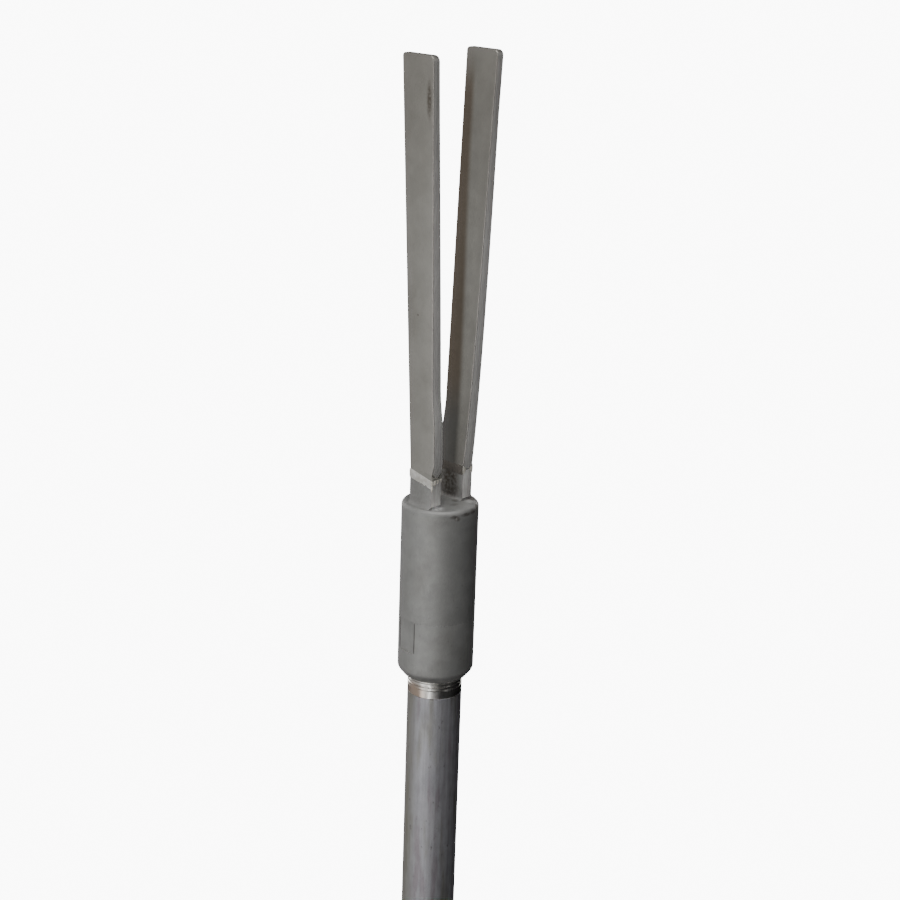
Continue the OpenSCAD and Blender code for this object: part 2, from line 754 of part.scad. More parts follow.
module locking_screw() color(screw_tone) at_lock() difference() {
    union() {
        bar(lock_screw_r, neck_bore_r + free_gap, collar_r - lock_sink);
        bar(lock_tip_r, stem_r - lock_groove_depth + free_gap, collar_r - lock_tip_l);
    }
    translate([0, 0, collar_r - lock_sink - lock_key_depth])
        cylinder(d = lock_key_af / cos(30), h = lock_key_depth + past, $fn = 6);
}

// Two crossed slots cut down into a screw's head from the height z
module cross_slots(slot, z) for (turn = [0, 90]) rotate([0, 0, turn])
    translate([-slot.x / 2, -slot.y / 2, z - slot.z]) cube(slot + [0, 0, past]);
module ground_screw() color(screw_tone) at_ground() difference() {
    union() {
        bar(ground_screw_r, ground_face - ground_depth + fit, ground_face);
        bar(ground_washer_r, ground_face, ground_face + ground_washer_t);
        bar(ground_head_r, ground_face, ground_face + ground_washer_t + ground_head_t);
    }
    cross_slots(ground_slot, ground_face + ground_washer_t + ground_head_t);
}

// Electronics insert, held under the posts by three screws, with two sliders in its face
module slider_slot(x) translate([x, slider_y, insert_face_z]) {
    translate([-free_gap, -slider_base.y / 2 - free_gap, slider_lip])
        cube(slider_base + [slider_room, 2 * free_gap, 2 * free_gap]);
    translate([slider_knob_x - free_gap, -slider_knob.y / 2 - free_gap, -past])
        cube([slider_knob.x + slider_room, slider_knob.y + 2 * free_gap, slider_lip + 2 * past]);
}
module slider(x) translate([x, slider_y, insert_face_z + slider_lip + free_gap]) {
    translate([0, -slider_base.y / 2, 0]) cube(slider_base);
    translate([slider_knob_x, -slider_knob.y / 2, -slider_knob.z])
        cube(slider_knob + [0, 0, past]);
}
module failsafe_slider() color("#d8d4c8") slider(failsafe_x);
module density_slider() color("#d8d4c8") slider(density_x);
module electronics_insert() color(insert_tone) difference() {
    rotate_extrude() polygon(rounded([
        [0, insert_top_z, 0],
        [0, insert_face_z, 0],
        [insert_r, insert_face_z, 1.5],
        [insert_r, insert_top_z, 1.5]
    ]));
    insert_places() {
        bar(screw_r + screw_play, insert_face_z - past, insert_top_z + past);
        bar(screw_head_r + head_play, insert_face_z - past, screw_head_z);
    }
    slider_slot(failsafe_x);
    slider_slot(density_x);
    translate([lens_x, slider_y, insert_face_z]) bar(lens_d / 2 + fit, -past, lens_depth);
}
module insert_screws() color(screw_tone) insert_places() difference() {
    union() {
        bar(screw_r, screw_head_z - past, insert_top_z + screw_grip);
        bar(screw_head_r, screw_head_z - screw_head_h, screw_head_z);
    }
    mirror([0, 0, 1]) cross_slots(screw_slot, screw_head_h - screw_head_z);
}
module signal_lens() color("#c8372d") translate([lens_x, slider_y, insert_face_z]) {
    bar(lens_d / 2, 0, lens_depth - fit);
    sphere(d = lens_d);
}

// Terminal block, with a hole and a wire inlet for each screw
module terminal_places() for (i = [0:terminal_count - 1])
    translate([(i - (terminal_count - 1) / 2) * terminal_pitch, 0, 0]) children();
module terminal_block() color("#54585a") difference() {
    translate([-terminal_w / 2, terminal_y, terminal_z]) cube([terminal_w, terminal_d, terminal_h]);
    translate([-terminal_w / 2 - past, terminal_y + terminal_d - terminal_step.x, terminal_z - past])
        cube([terminal_w + 2 * past, terminal_step.x + past, terminal_step.y + past]);
    terminal_places() {
        translate([0, terminal_screw_y, terminal_z])
            bar(terminal_screw_r + head_play, -past, terminal_screw_sink + terminal_screw_h);
        translate([-wire_inlet.x / 2, terminal_y - past, insert_face_z - wire_inlet_drop - wire_inlet.z])
            cube(wire_inlet + [0, past, 0]);
    }
}
module terminal_screws() color(screw_tone) terminal_places()
    translate([0, terminal_screw_y, terminal_z + terminal_screw_sink]) difference() {
        bar(terminal_screw_r, 0, terminal_screw_h);
        translate([-terminal_screw_r - past, -terminal_slot.x / 2, -past])
            cube([2 * (terminal_screw_r + past), terminal_slot.x, terminal_slot.y + past]);
    }

// Screw cover with grip ribs, and the seal on the rim
module cover() color(housing_tone) difference() {
    union() {
        rotate_extrude() polygon(rounded([
            [0, cover_top_z, 0],
            [0, cover_end_z, 0],
            [cover_out_r, cover_end_z, cover_r],
            [cover_out_r, cover_top_z, 1]
        ]));
        for (i = [0:grip_count - 1]) rotate([0, 0, i * 360 / grip_count])
            translate([cover_out_r - grip_r / 3, 0, 0])
                bar(grip_r, cover_end_z + cover_r, cover_top_z - grip_stop);
    }
    bar(skirt_in_r, cover_floor_z, cover_top_z + past);
}
module cover_o_ring() color(rubber_tone) cord_ring(cover_ring_groove_r, cover_ring_cord, cover_ring_z);

// Cable gland on one entry
module gland_washer() color(rubber_tone) at_entry(1)
    ring(entry_washer_r, entry_r + fit, entry_face, nut_face);
module gland_body() color("#9c9d99") at_entry(1) difference() {
    union() {
        bar(entry_r - fit, entry_face - entry_reach, nut_face + past);
        hex_bar(entry_af, nut_face, nut_face + gland_hex_l, entry_chamfer);
        bar(gland_spigot_r, nut_face + gland_hex_l - past, gland_end);
    }
    bar(gland_bore_r, entry_face - entry_reach - past, gland_end + past);
    bar(seal_r + fit, seal_start, gland_end + past);
}
module gland_seal() color(rubber_tone) at_entry(1)
    ring(seal_r, cable_d / 2, seal_start, seal_end);
module gland_cap_nut() color("#9c9d99") at_entry(1) difference() {
    union() {
        hex_bar(entry_af, cap_start, gland_end + cap_skirt, entry_chamfer);
        rotate_extrude() polygon(rounded([
            [0, gland_end, 0],
            [entry_af / 2 - cap_step, gland_end, 0],
            [entry_af / 2 - cap_step, cap_end, cap_dome_r],
            [0, cap_end, 0]
        ]));
    }
    bar(gland_spigot_r + fit, cap_start - past, gland_end + cap_room);
    bar(seal_r + fit, gland_end, seal_end + fit);
    bar(gland_bore_r, gland_end, cap_end + past);
}

// Blanking plug in the other entry
module plug_washer() color(rubber_tone) at_entry(-1)
    ring(entry_washer_r, entry_r + fit, entry_face, nut_face);
module blanking_plug() color("#9c9d99") at_entry(-1) {
    bar(entry_r - fit, entry_face - entry_reach, nut_face + past);
    hex_bar(entry_af, nut_face, nut_face + plug_hex_l, entry_chamfer);
}

fork_body();
left_paddle();
right_paddle();
paddle_welds();
adapter_sleeve();
threaded_nipple();
extension_tube();
drive_bolt();
pressure_ring();
pressure_plate();
insulating_discs();
piezo_discs();
contact_discs();
thrust_washer();
clamp_nut();
lead_plug();
sensor_leads();
lead_spacers();
lead_socket();
process_fitting();
process_gasket();
fitting_weld();
neck_o_ring();
retaining_ring();
housing();
locking_screw();
ground_screw();
electronics_insert();
insert_screws();
terminal_block();
terminal_screws();
signal_lens();
failsafe_slider();
density_slider();
cover_o_ring();
cover();
gland_washer();
gland_body();
gland_seal();
gland_cap_nut();
plug_washer();
blanking_plug();
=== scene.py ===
"""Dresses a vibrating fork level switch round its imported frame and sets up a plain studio.

The frame is in metres with +Z towards the tips of the fork. Sizes in the classes are in millimetres.
"""

import logging
import math
from contextlib import contextmanager
from dataclasses import dataclass
from enum import Enum
from typing import Any, Callable, Iterator, Sequence

import bmesh
import bpy
from mathutils import Matrix, Vector, noise


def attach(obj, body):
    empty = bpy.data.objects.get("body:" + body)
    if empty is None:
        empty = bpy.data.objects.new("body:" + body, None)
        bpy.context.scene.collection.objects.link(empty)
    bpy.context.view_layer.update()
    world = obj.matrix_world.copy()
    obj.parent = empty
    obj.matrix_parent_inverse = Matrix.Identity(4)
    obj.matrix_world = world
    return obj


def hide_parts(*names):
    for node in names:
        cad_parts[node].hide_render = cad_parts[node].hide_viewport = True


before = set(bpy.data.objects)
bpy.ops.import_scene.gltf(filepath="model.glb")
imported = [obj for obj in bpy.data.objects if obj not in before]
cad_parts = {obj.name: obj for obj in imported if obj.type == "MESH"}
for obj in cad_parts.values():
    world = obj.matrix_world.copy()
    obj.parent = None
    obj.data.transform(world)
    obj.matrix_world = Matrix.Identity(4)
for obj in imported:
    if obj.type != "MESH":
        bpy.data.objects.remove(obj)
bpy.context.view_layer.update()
MM = 0.001
# Vertices closer than this, in metres, are one
MERGE = 2e-6
# What counts as the same place, in millimetres
SAME = 0.01
# A direction counts as an axis's own from this share of it
ALONG = 0.9
# The steps in a full turn, and the widest step round a corner in radians
ROUND = 128
CORNER_STEP = math.radians(12)
# What a cloudy pattern spans
FAINT = 0.3
STRONG = 0.7

Profile = list[tuple[float, float]]
Spot = tuple[float, float, float]
Step = tuple[int, float, float, float]
Socket = bpy.types.NodeSocket
Piece = bpy.types.Object
Tree = bpy.types.NodeTree

SMOOTH = {"interpolation_type": "SMOOTHSTEP"}

log = logging.getLogger("level_switch")


class Pick(Enum):
    """What a selection is made of."""

    VERTS = "VERT"
    EDGES = "EDGE"
    FACES = "FACE"


class Join(Enum):
    """How a second solid changes the first."""

    ADD = "UNION"
    CUT = "DIFFERENCE"
    KEEP = "INTERSECT"


# Modelling by hand, with Blender's own operators


def deselect() -> None:
    """Deselects every object."""
    bpy.ops.object.select_all(action="DESELECT")


def activate(piece: Piece) -> None:
    """Makes a piece the only selected object and the active one.

    Args:
        piece: The piece to work on.
    """
    deselect()
    piece.select_set(True)
    bpy.context.view_layer.objects.active = piece


@contextmanager
def editing(piece: Piece) -> Iterator[None]:
    """Opens a piece in edit mode with nothing selected, and leaves edit mode afterwards.

    Args:
        piece: The piece to edit.

    Yields:
        Nothing, while the piece is in edit mode.
    """
    activate(piece)
    bpy.ops.object.mode_set(mode="EDIT")
    bpy.ops.mesh.select_mode(type=Pick.VERTS.value)
    bpy.ops.mesh.select_all(action="DESELECT")
    yield
    bpy.ops.object.mode_set(mode="OBJECT")


def choose(piece: Piece, kind: Pick, test: Callable[[Vector, Vector], bool]) -> int:
    """Selects elements of a piece in edit mode by their place and direction.

    Args:
        piece: The piece in edit mode.
        kind: Vertices, edges or faces.
        test: Takes an element's middle in millimetres and its normal, or an edge's direction.

    Returns:
        The number of elements selected.
    """
    bpy.ops.mesh.select_mode(type=kind.value)
    mesh = bmesh.from_edit_mesh(piece.data)
    count = 0
    if kind is Pick.VERTS:
        items = [(v, v.co, v.normal) for v in mesh.verts]
    elif kind is Pick.EDGES:
        items = [
            (e, (e.verts[0].co + e.verts[1].co) / 2, (e.verts[1].co - e.verts[0].co).normalized())
            for e in mesh.edges
        ]
    else:
        items = [(f, f.calc_center_median(), f.normal) for f in mesh.faces]
    for item, middle, way in items:
        if test(middle / MM, way):
            item.select_set(True)
            count += 1
    mesh.select_flush_mode()
    bmesh.update_edit_mesh(piece.data)
    return count


def settle(piece: Piece) -> None:
    """Puts a piece's place, turn and scale into its mesh.

    Args:
        piece: The piece, in object mode.
    """
    activate(piece)
    bpy.ops.object.transform_apply(location=True, rotation=True, scale=True)


def close_up(piece: Piece) -> None:
    """Merges doubles and points all faces outwards.

    Args:
        piece: The piece, in object mode.
    """
    with editing(piece):
        bpy.ops.mesh.select_all(action="SELECT")
        bpy.ops.mesh.remove_doubles(threshold=MERGE)
        bpy.ops.mesh.normals_make_consistent(inside=False)


def corner(a: Vector, b: Vector, c: Vector, radius: float) -> Profile:
    """Rounds the corner b between the lines from a and to c.

    Args:
        a: The point before the corner.
        b: The corner.
        c: The point after the corner.
        radius: The radius of the arc.

    Returns:
        Points along the arc.
    """
    u = (a - b).normalized()
    v = (c - b).normalized()
    half = math.acos(max(-1.0, min(1.0, u.dot(v)))) / 2
    centre = b + (u + v).normalized() * radius / math.sin(half)
    p = b + u * radius / math.tan(half) - centre
    q = b + v * radius / math.tan(half) - centre
    start = math.atan2(p.y, p.x)
    turn = (math.atan2(q.y, q.x) - start + 3 * math.pi) % (2 * math.pi) - math.pi
    steps = max(2, math.ceil(abs(turn) / CORNER_STEP))
    angles = [start + turn * i / steps for i in range(steps + 1)]
    return [(centre.x + radius * math.cos(t), centre.y + radius * math.sin(t)) for t in angles]


def rounded(points: Sequence[tuple[float, float, float]]) -> Profile:
    """Rounds the corners of an outline.

    Args:
        points: The outline's corners, each with its radius, or 0 for a sharp one.

    Returns:
        The outline's points.
    """
    flat = [Vector((p[0], p[1])) for p in points]
    made: Profile = []
    for i, (x, y, radius) in enumerate(points):
        if radius:
            made += corner(flat[i - 1], flat[i], flat[(i + 1) % len(flat)], radius)
        else:
            made.append((x, y))
    return made


def turned(name: str, outline: Profile, segments: int = ROUND, ring: bool = True) -> Piece:
    """Turns an outline round the axis, one extruded and resized ring after another.

    Args:
        name: The piece's name.
        outline: Radius and height of each ring, in order.
        segments: The number of steps round.
        ring: True where the outline closes on itself, False where flat ends close the solid.

    Returns:
        The piece.
    """
    path = outline + [outline[0]] if ring else outline
    deselect()
    bpy.ops.mesh.primitive_circle_add(
        vertices=segments,
        radius=path[0][0] * MM,
        location=(0, 0, path[0][1] * MM),
        fill_type="NOTHING" if ring else "NGON",
    )
    piece = bpy.context.object
    piece.name = name
    with editing(piece):
        bpy.ops.mesh.select_all(action="SELECT")
        for (r0, z0), (r1, z1) in zip(path, path[1:]):
            move = {"value": (0, 0, (z1 - z0) * MM)}
            bpy.ops.mesh.extrude_region_move(TRANSFORM_OT_translate=move)
            bpy.ops.transform.resize(value=(r1 / r0, r1 / r0, 1), center_override=(0, 0, z1 * MM))
    settle(piece)
    close_up(piece)
    return piece


def traced(name: str, outline: Profile, low: float, high: float | None, steps: int = 1) -> Piece:
    """Traces an outline in the XZ plane, vertex by vertex, and pulls it along Y.

    Args:
        name: The piece's name.
        outline: X and Z of each corner.
        low: Where the piece starts on Y.
        high: Where it ends on Y, or None to leave an open line.
        steps: The number of slices along Y.

    Returns:
        The piece.
    """
    deselect()
    start = Vector((outline[0][0], low, outline[0][1])) * MM
    bpy.ops.mesh.primitive_plane_add(size=MM, location=start)
    piece = bpy.context.object
    piece.name = name
    with editing(piece):
        bpy.ops.mesh.select_all(action="SELECT")
        bpy.ops.mesh.merge(type="CENTER")
        for (x0, z0), (x1, z1) in zip(outline, outline[1:]):
            move = {"value": ((x1 - x0) * MM, 0, (z1 - z0) * MM)}
            bpy.ops.mesh.extrude_region_move(TRANSFORM_OT_translate=move)
        if high is not None:
            bpy.ops.mesh.select_all(action="SELECT")
            bpy.ops.mesh.edge_face_add()
            for _ in range(steps):
                move = {"value": (0, (high - low) / steps * MM, 0)}
                bpy.ops.mesh.extrude_region_move(TRANSFORM_OT_translate=move)
    settle(piece)
    if high is not None:
        close_up(piece)
    return piece


def block(name: str, low: Sequence[float], high: Sequence[float]) -> Piece:
    """Adds a block between two corners.

    Args:
        name: The block's name.
        low: The lowest corner.
        high: The highest corner.

    Returns:
        The block.
    """
    deselect()
    a = Vector(low) * MM
    b = Vector(high) * MM
    bpy.ops.mesh.primitive_cube_add(size=1, location=(a + b) / 2, scale=b - a)
    piece = bpy.context.object
    piece.name = name
    settle(piece)
    return piece


def apply(piece: Piece, kind: str, **settings: Any) -> None:
    """Adds a modifier to a piece and applies it.

    Args:
        piece: The piece.
        kind: The modifier's type.
        settings: The modifier's settings.
    """
    modifier = piece.modifiers.new(kind.lower(), kind)
    for key, value in settings.items():
        setattr(modifier, key, value)
    activate(piece)
    bpy.ops.object.modifier_apply(modifier=modifier.name)


def joined(piece: Piece, tool: Piece, how: Join) -> None:
    """Adds a second solid to a piece, cuts it out or keeps what both share.

    Args:
        piece: The piece that stays.
        tool: The solid that is used up.
        how: What to do with it.
    """
    apply(piece, "BOOLEAN", operation=how.value, object=tool, solver="EXACT")
    bpy.data.objects.remove(tool, do_unlink=True)
    close_up(piece)


def gathered(name: str, pieces: Sequence[Piece]) -> Piece:
    """Joins several meshes into one piece.

    Args:
        name: The piece's name.
        pieces: The meshes.

    Returns:
        The piece.
    """
    activate(pieces[0])
    for piece in pieces:
        piece.select_set(True)
    bpy.ops.object.join()
    pieces[0].name = name
    return pieces[0]


def threaded(
    name: str,
    outer: float,
    depth: float,
    pitch: float,
    low: float,
    high: float,
    crest: float = 0.16,
    floor: float = 0.16,
    steps: int = 96,
) -> Piece:
    """Winds one pitch of a thread's outline into a screw with flat ends.

    Args:
        name: The piece's name.
        outer: The radius of the crests.
        depth: The depth of the grooves.
        pitch: The rise in one turn.
        low: The height of the lower end.
        high: The height of the upper end.
        crest: The share of the pitch that is flat at the crest.
        floor: The share that is flat in the groove.
        steps: The number of steps in one turn.

    Returns:
        The piece, a closed solid.
    """
    root = outer - depth
    first = low - 1.5 * pitch
    outline = [
        (root, first),
        (root, first + pitch * (floor / 2)),
        (outer, first + pitch * (0.5 - crest / 2)),
        (outer, first + pitch * (0.5 + crest / 2)),
        (root, first + pitch * (1 - floor / 2)),
        (root, first + pitch),
    ]
    piece = traced(name, outline, 0, None)
    turns = math.ceil((high - low) / pitch) + 3
    apply(
        piece, "SCREW", axis="Z", angle=2 * math.pi, screw_offset=pitch * MM,
        iterations=turns, steps=steps, render_steps=steps,
    )
    with editing(piece):
        bpy.ops.mesh.select_all(action="SELECT")
        bpy.ops.mesh.remove_doubles(threshold=MERGE)
        for height, way in ((low, -1), (high, 1)):
            bpy.ops.mesh.select_all(action="SELECT")
            bpy.ops.mesh.bisect(
                plane_co=(0, 0, height * MM), plane_no=(0, 0, way), use_fill=True, clear_outer=True
            )
    close_up(piece)
    return piece


def softened(node: str, width: float, segments: int = 2, angle: float = 30.0) -> Piece:
    """Copies a CAD node, merges its triangles into faces and rounds its edges.

    Args:
        node: The CAD node's name.
        width: The width of the rounded edge.
        segments: The number of steps across the edge.
        angle: Edges sharper than this many degrees are rounded.

    Returns:
        The copy.
    """
    piece = bpy.data.objects.new(node + "_shape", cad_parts[node].data.copy())
    bpy.context.scene.collection.objects.link(piece)
    with editing(piece):
        bpy.ops.mesh.select_all(action="SELECT")
        bpy.ops.mesh.customdata_custom_splitnormals_clear()
        bpy.ops.mesh.remove_doubles(threshold=MERGE)
        bpy.ops.mesh.dissolve_limited(angle_limit=math.radians(1.0))
    if width:
        apply(
            piece, "BEVEL", width=width * MM, segments=segments, limit_method="ANGLE",
            angle_limit=math.radians(angle), use_clamp_overlap=True, miter_outer="MITER_ARC",
        )
    return piece


def waver(spot: Vector, scale: Spot, shift: float = 0.0) -> float:
    """Gives a value that changes slowly from place to place.

    Args:
        spot: The place in millimetres.
        scale: How fast the value changes along each axis.
        shift: Moves the pattern upwards.

    Returns:
        The value, about -0.5 to 0.5.
    """
    x, y, z = [value * share for value, share in zip(spot, scale)]
    return noise.noise(Vector((x, y, z + shift)))


# Patterns and finishes


def linear(code: str) -> tuple[float, float, float, float]:
    """Turns an sRGB hex colour into linear values.

    Args:
        code: The colour, such as "#8c8c88".

    Returns:
        Red, green, blue and alpha.
    """
    parts = [int(code[i : i + 2], 16) / 255 for i in (1, 3, 5)]
    values = [c / 12.92 if c <= 0.04045 else ((c + 0.055) / 1.055) ** 2.4 for c in parts]
    return values[0], values[1], values[2], 1.0


def add_node(
    tree: Tree, kind: str, inputs: dict[int | str, Any] | None = None, **options: Any
) -> bpy.types.Node:
    """Adds a node with its options, and sets or links its sockets.

    Args:
        tree: The node tree.
        kind: The node's type, without the first two words that all types share.
        inputs: By name or number, a socket to link, a hex colour or a plain value.
        options: The node's own properties.

    Returns:
        The node.
    """
    node = tree.nodes.new("ShaderNode" + kind)
    for key, value in options.items():
        setattr(node, key, value)
    for key, value in (inputs or {}).items():
        if isinstance(value, Socket):
            tree.links.new(value, node.inputs[key])
        else:
            node.inputs[key].default_value = linear(value) if isinstance(value, str) else value
    return node


def blotches(
    tree: Tree,
    where: Socket,
    size: float,
    stretch: Sequence[float] = (1, 1, 1),
    detail: float = 3.0,
    rough: float = 0.55,
) -> Socket:
    """Draws a cloudy pattern whose blotches have a real size.

    Args:
        tree: The node tree.
        where: The coordinates in millimetres.
        size: The size of a blotch in millimetres.
        stretch: How much longer the blotches are along each axis.
        detail: How many finer layers lie on the blotches.
        rough: How strong the finer layers are.

    Returns:
        The pattern, about 0.3 to 0.7.
    """
    scaled = add_node(tree, "Mapping", {"Vector": where, "Scale": [1 / s for s in stretch]})
    cloud = add_node(
        tree, "TexNoise",
        {"Vector": scaled.outputs[0], "Scale": 1 / size, "Detail": detail, "Roughness": rough},
    )
    return cloud.outputs[0]


def rings(tree: Tree, where: Socket, size: float) -> Socket:
    """Draws the fine rings that a lathe tool leaves on walls and on flat ends.

    Args:
        tree: The node tree.
        where: The coordinates in millimetres, centred on the turning axis.
        size: The width of a ring in millimetres.

    Returns:
        The pattern, about 0.3 to 0.7.
    """
    flat = add_node(tree, "VectorMath", {0: where, 1: (1, 1, 0)}, operation="MULTIPLY")
    radius = add_node(tree, "VectorMath", {0: flat.outputs[0]}, operation="LENGTH")
    parts = add_node(tree, "SeparateXYZ", {0: where})
    track = add_node(tree, "CombineXYZ", {0: radius.outputs["Value"], 2: parts.outputs[2]})
    return blotches(tree, track.outputs[0], size, detail=2.0, rough=0.6)


def ramps(tree: Tree, vector: Socket, steps: Sequence[Step], most: Socket | float = 1.0) -> Socket:
    """Multiplies soft steps along the axes of a vector.

    Args:
        tree: The node tree.
        vector: Coordinates in millimetres, or a normal.
        steps: For each step its axis, where it is at its foot, where it is 1, and its foot.
        most: The result where every step is 1.

    Returns:
        The product.
    """
    parts = add_node(tree, "SeparateXYZ", {0: vector})
    for axis, low, high, foot in steps:
        step = add_node(
            tree, "MapRange", {0: parts.outputs[axis], 1: low, 2: high, 3: foot, 4: 1.0}, **SMOOTH
        )
        most = add_node(tree, "Math", {0: step.outputs[0], 1: most}, operation="MULTIPLY").outputs[0]
    return most


@dataclass(frozen=True)
class Cloud:
    """A colour that shows where a cloudy pattern is strong, from a low level of it to a high one."""

    colour: str
    size: float
    low: float = 0.35
    high: float = 0.65
    strength: float = 1.0
    stretch: Spot = (1, 1, 1)
    detail: float = 3.0
    rough: float = 0.55

    def over(self, tree: Tree, where: Socket, base: Socket | str) -> Socket:
        """Lays the colour over a base.

        Args:
            tree: The node tree.
            where: The coordinates in millimetres.
            base: The colour below, linked or as a hex code.

        Returns:
            The colour with the cloud over it.
        """
        cloud = blotches(tree, where, self.size, self.stretch, self.detail, self.rough)
        mask = add_node(
            tree, "MapRange", {0: cloud, 1: self.low, 2: self.high, 3: 0.0, 4: self.strength}, **SMOOTH
        )
        made = add_node(tree, "Mix", {0: mask.outputs[0], 6: base, 7: self.colour}, data_type="RGBA")
        return made.outputs[2]


@dataclass(frozen=True)
class Patch:
    """A colour in a soft oval round a point, with a ragged edge where use has left it."""

    colour: str
    centre: Spot
    reach: Spot
    strength: float
    soft: float = 0.8
    ragged: float = 0.5
    tear: float = 1.6
    tear_low: float = 0.35
    tear_high: float = 0.6

    def over(self, tree: Tree, where: Socket, base: Socket | str) -> Socket:
        """Lays the colour over a base.

        Args:
            tree: The node tree.
            where: The coordinates in millimetres.
            base: The colour below, linked or as a hex code.

        Returns:
            The colour with the patch over it.
        """
        scaled = add_node(
            tree, "Mapping",
            {
                "Vector": where,
                "Location": [-c / r for c, r in zip(self.centre, self.reach)],
                "Scale": [1 / r for r in self.reach],
            },
        )
        off = add_node(tree, "VectorMath", {0: scaled.outputs[0]}, operation="LENGTH").outputs["Value"]
        tear = blotches(tree, where, self.tear)
        least = self.strength * (1 - self.ragged)
        torn = {0: tear, 1: self.tear_low, 2: self.tear_high, 3: least, 4: self.strength}
        full = add_node(tree, "MapRange", torn, **SMOOTH)
        mask = add_node(
            tree, "MapRange", {0: off, 1: 1 - self.soft, 2: 1.0, 3: full.outputs[0], 4: 0.0}, **SMOOTH
        )
        made = add_node(tree, "Mix", {0: mask.outputs[0], 6: base, 7: self.colour}, data_type="RGBA")
        return made.outputs[2]


@dataclass(frozen=True)
class Finish:
    """A surface: its two tones, how it shines, and the grain that its making leaves."""

    name: str
    tone: str
    shade: str
    metallic: float = 0.0
    rough: float = 0.5
    ior: float | None = None
    grain: float = 0.6
    relief: float = 0.1
    depth: float = 0.05
    mottle: float = 12.0
    layers: tuple[Cloud | Patch, ...] = ()
    wear_size: float = 0.4
    wear_least: float = 0.96
    wear_most: float = 1.05

    def shader(self, tree: Tree) -> bpy.types.Node:
        """Clears a tree and gives it one shader with this finish's constants.

        Args:
            tree: The node tree.

        Returns:
            The shader's node.
        """
        tree.nodes.clear()
        bsdf = add_node(tree, "BsdfPrincipled", {"Metallic": self.metallic, "Roughness": self.rough})
        if self.ior is not None:
            bsdf.inputs["IOR"].default_value = self.ior
        add_node(tree, "OutputMaterial", {"Surface": bsdf.outputs[0]})
        return bsdf

    def colour(self, tree: Tree, where: Socket) -> Socket:
        """Draws two tones in soft blotches, and the finish's layers over them.

        Args:
            tree: The node tree.
            where: The coordinates in millimetres.

        Returns:
            The colour.
        """
        made: Socket | str = self.tone
        for layer in (Cloud(self.shade, self.mottle), *self.layers):
            made = layer.over(tree, where, made)
        return made

    def gloss(self, tree: Tree, where: Socket) -> Socket:
        """Draws the roughness, which changes a little with the blotches of wear.

        Args:
            tree: The node tree.
            where: The coordinates in millimetres.

        Returns:
            The roughness.
        """
        cloud = blotches(tree, where, self.mottle * self.wear_size)
        least = self.rough * self.wear_least
        most = min(1.0, self.rough * self.wear_most)
        shine = {0: cloud, 1: FAINT, 2: STRONG, 3: least, 4: most}
        return add_node(tree, "MapRange", shine, **SMOOTH).outputs[0]

    def height(self, tree: Tree, where: Socket) -> Socket:
        """Draws the height of the grain."""
        return blotches(tree, where, self.grain, detail=2.0)

    def build(self) -> bpy.types.Material:
        """Makes the material.

        Returns:
            The material.
        """
        material = bpy.data.materials.new(self.name)
        material.use_nodes = True
        tree = material.node_tree
        bsdf = self.shader(tree)
        place = add_node(tree, "TexCoord").outputs["Object"]
        where = add_node(tree, "VectorMath", {0: place, "Scale": 1 / MM}, operation="SCALE").outputs[0]
        tree.links.new(self.colour(tree, where), bsdf.inputs["Base Color"])
        tree.links.new(self.gloss(tree, where), bsdf.inputs["Roughness"])
        bump = add_node(
            tree, "Bump",
            {"Strength": self.relief, "Distance": self.depth * MM, "Height": self.height(tree, where)},
        )
        tree.links.new(bump.outputs[0], bsdf.inputs["Normal"])
        return material


@dataclass(frozen=True)
class FiledSteel(Finish):
    """Blasted stainless steel, its narrow faces draw-filed after welding, which leaves them dull; their pale
    colour is a painted sheen.
    """

    # The filed faces' pale colour, a painted sheen, and the colour of the file's lines
    filed: str = "#f4f3f0"
    filed_shade: str = "#dddcd9"
    filed_rough: float = 0.72
    low: float = 357.0
    file_line: float = 0.45
    file_stretch: Spot = (1, 1, 26)
    file_rough: float = 0.7
    # How far a normal may lean to the broad faces: where filing ends, and where it is whole
    broad: float = 0.36
    slim: float = 0.22
    # The same for the ends, and what is left of the filing there
    upright: float = 0.8
    level: float = 0.2
    on_ends: float = 0.1

    def narrow(self, tree: Tree, where: Socket) -> Socket:
        """Finds the filed faces: 1 on the narrow ones, less on the ends, 0 elsewhere and below a height.

        Args:
            tree: The node tree.
            where: The coordinates in millimetres.

        Returns:
            How much a point is filed.
        """
        above = ramps(tree, where, ((2, self.low - 0.5, self.low, 0.0),))
        normal = add_node(tree, "TexCoord").outputs["Normal"]
        facing = add_node(tree, "VectorMath", {0: normal}, operation="ABSOLUTE").outputs[0]
        steps = ((0, self.broad, self.slim, 0.0), (2, self.upright, self.level, self.on_ends))
        return ramps(tree, facing, steps, above)

    def colour(self, tree: Tree, where: Socket) -> Socket:
        """Draws the blasted faces and the filed ones, pale as a painted sheen.

        Args:
            tree: The node tree.
            where: The coordinates in millimetres.

        Returns:
            The colour.
        """
        face = super().colour(tree, where)
        lines = Cloud(
            self.filed_shade, self.file_line, stretch=self.file_stretch, rough=self.file_rough
        )
        line = lines.over(tree, where, self.filed)
        made = add_node(tree, "Mix", {0: self.narrow(tree, where), 6: face, 7: line}, data_type="RGBA")
        return made.outputs[2]

    def gloss(self, tree: Tree, where: Socket) -> Socket:
        """Draws the roughness, higher on the filed faces."""
        face = super().gloss(tree, where)
        return add_node(tree, "Mix", {0: self.narrow(tree, where), 2: face, 3: self.filed_rough}).outputs[0]

    def height(self, tree: Tree, where: Socket) -> Socket:
        """Draws the blasting and the file's lines.

        Args:
            tree: The node tree.
            where: The coordinates in millimetres.

        Returns:
            The height.
        """
        lines = blotches(tree, where, self.file_line, self.file_stretch, rough=self.file_rough)
        parts = {0: lines, 1: self.narrow(tree, where), 2: super().height(tree, where)}
        return add_node(tree, "Math", parts, operation="MULTIPLY_ADD").outputs[0]


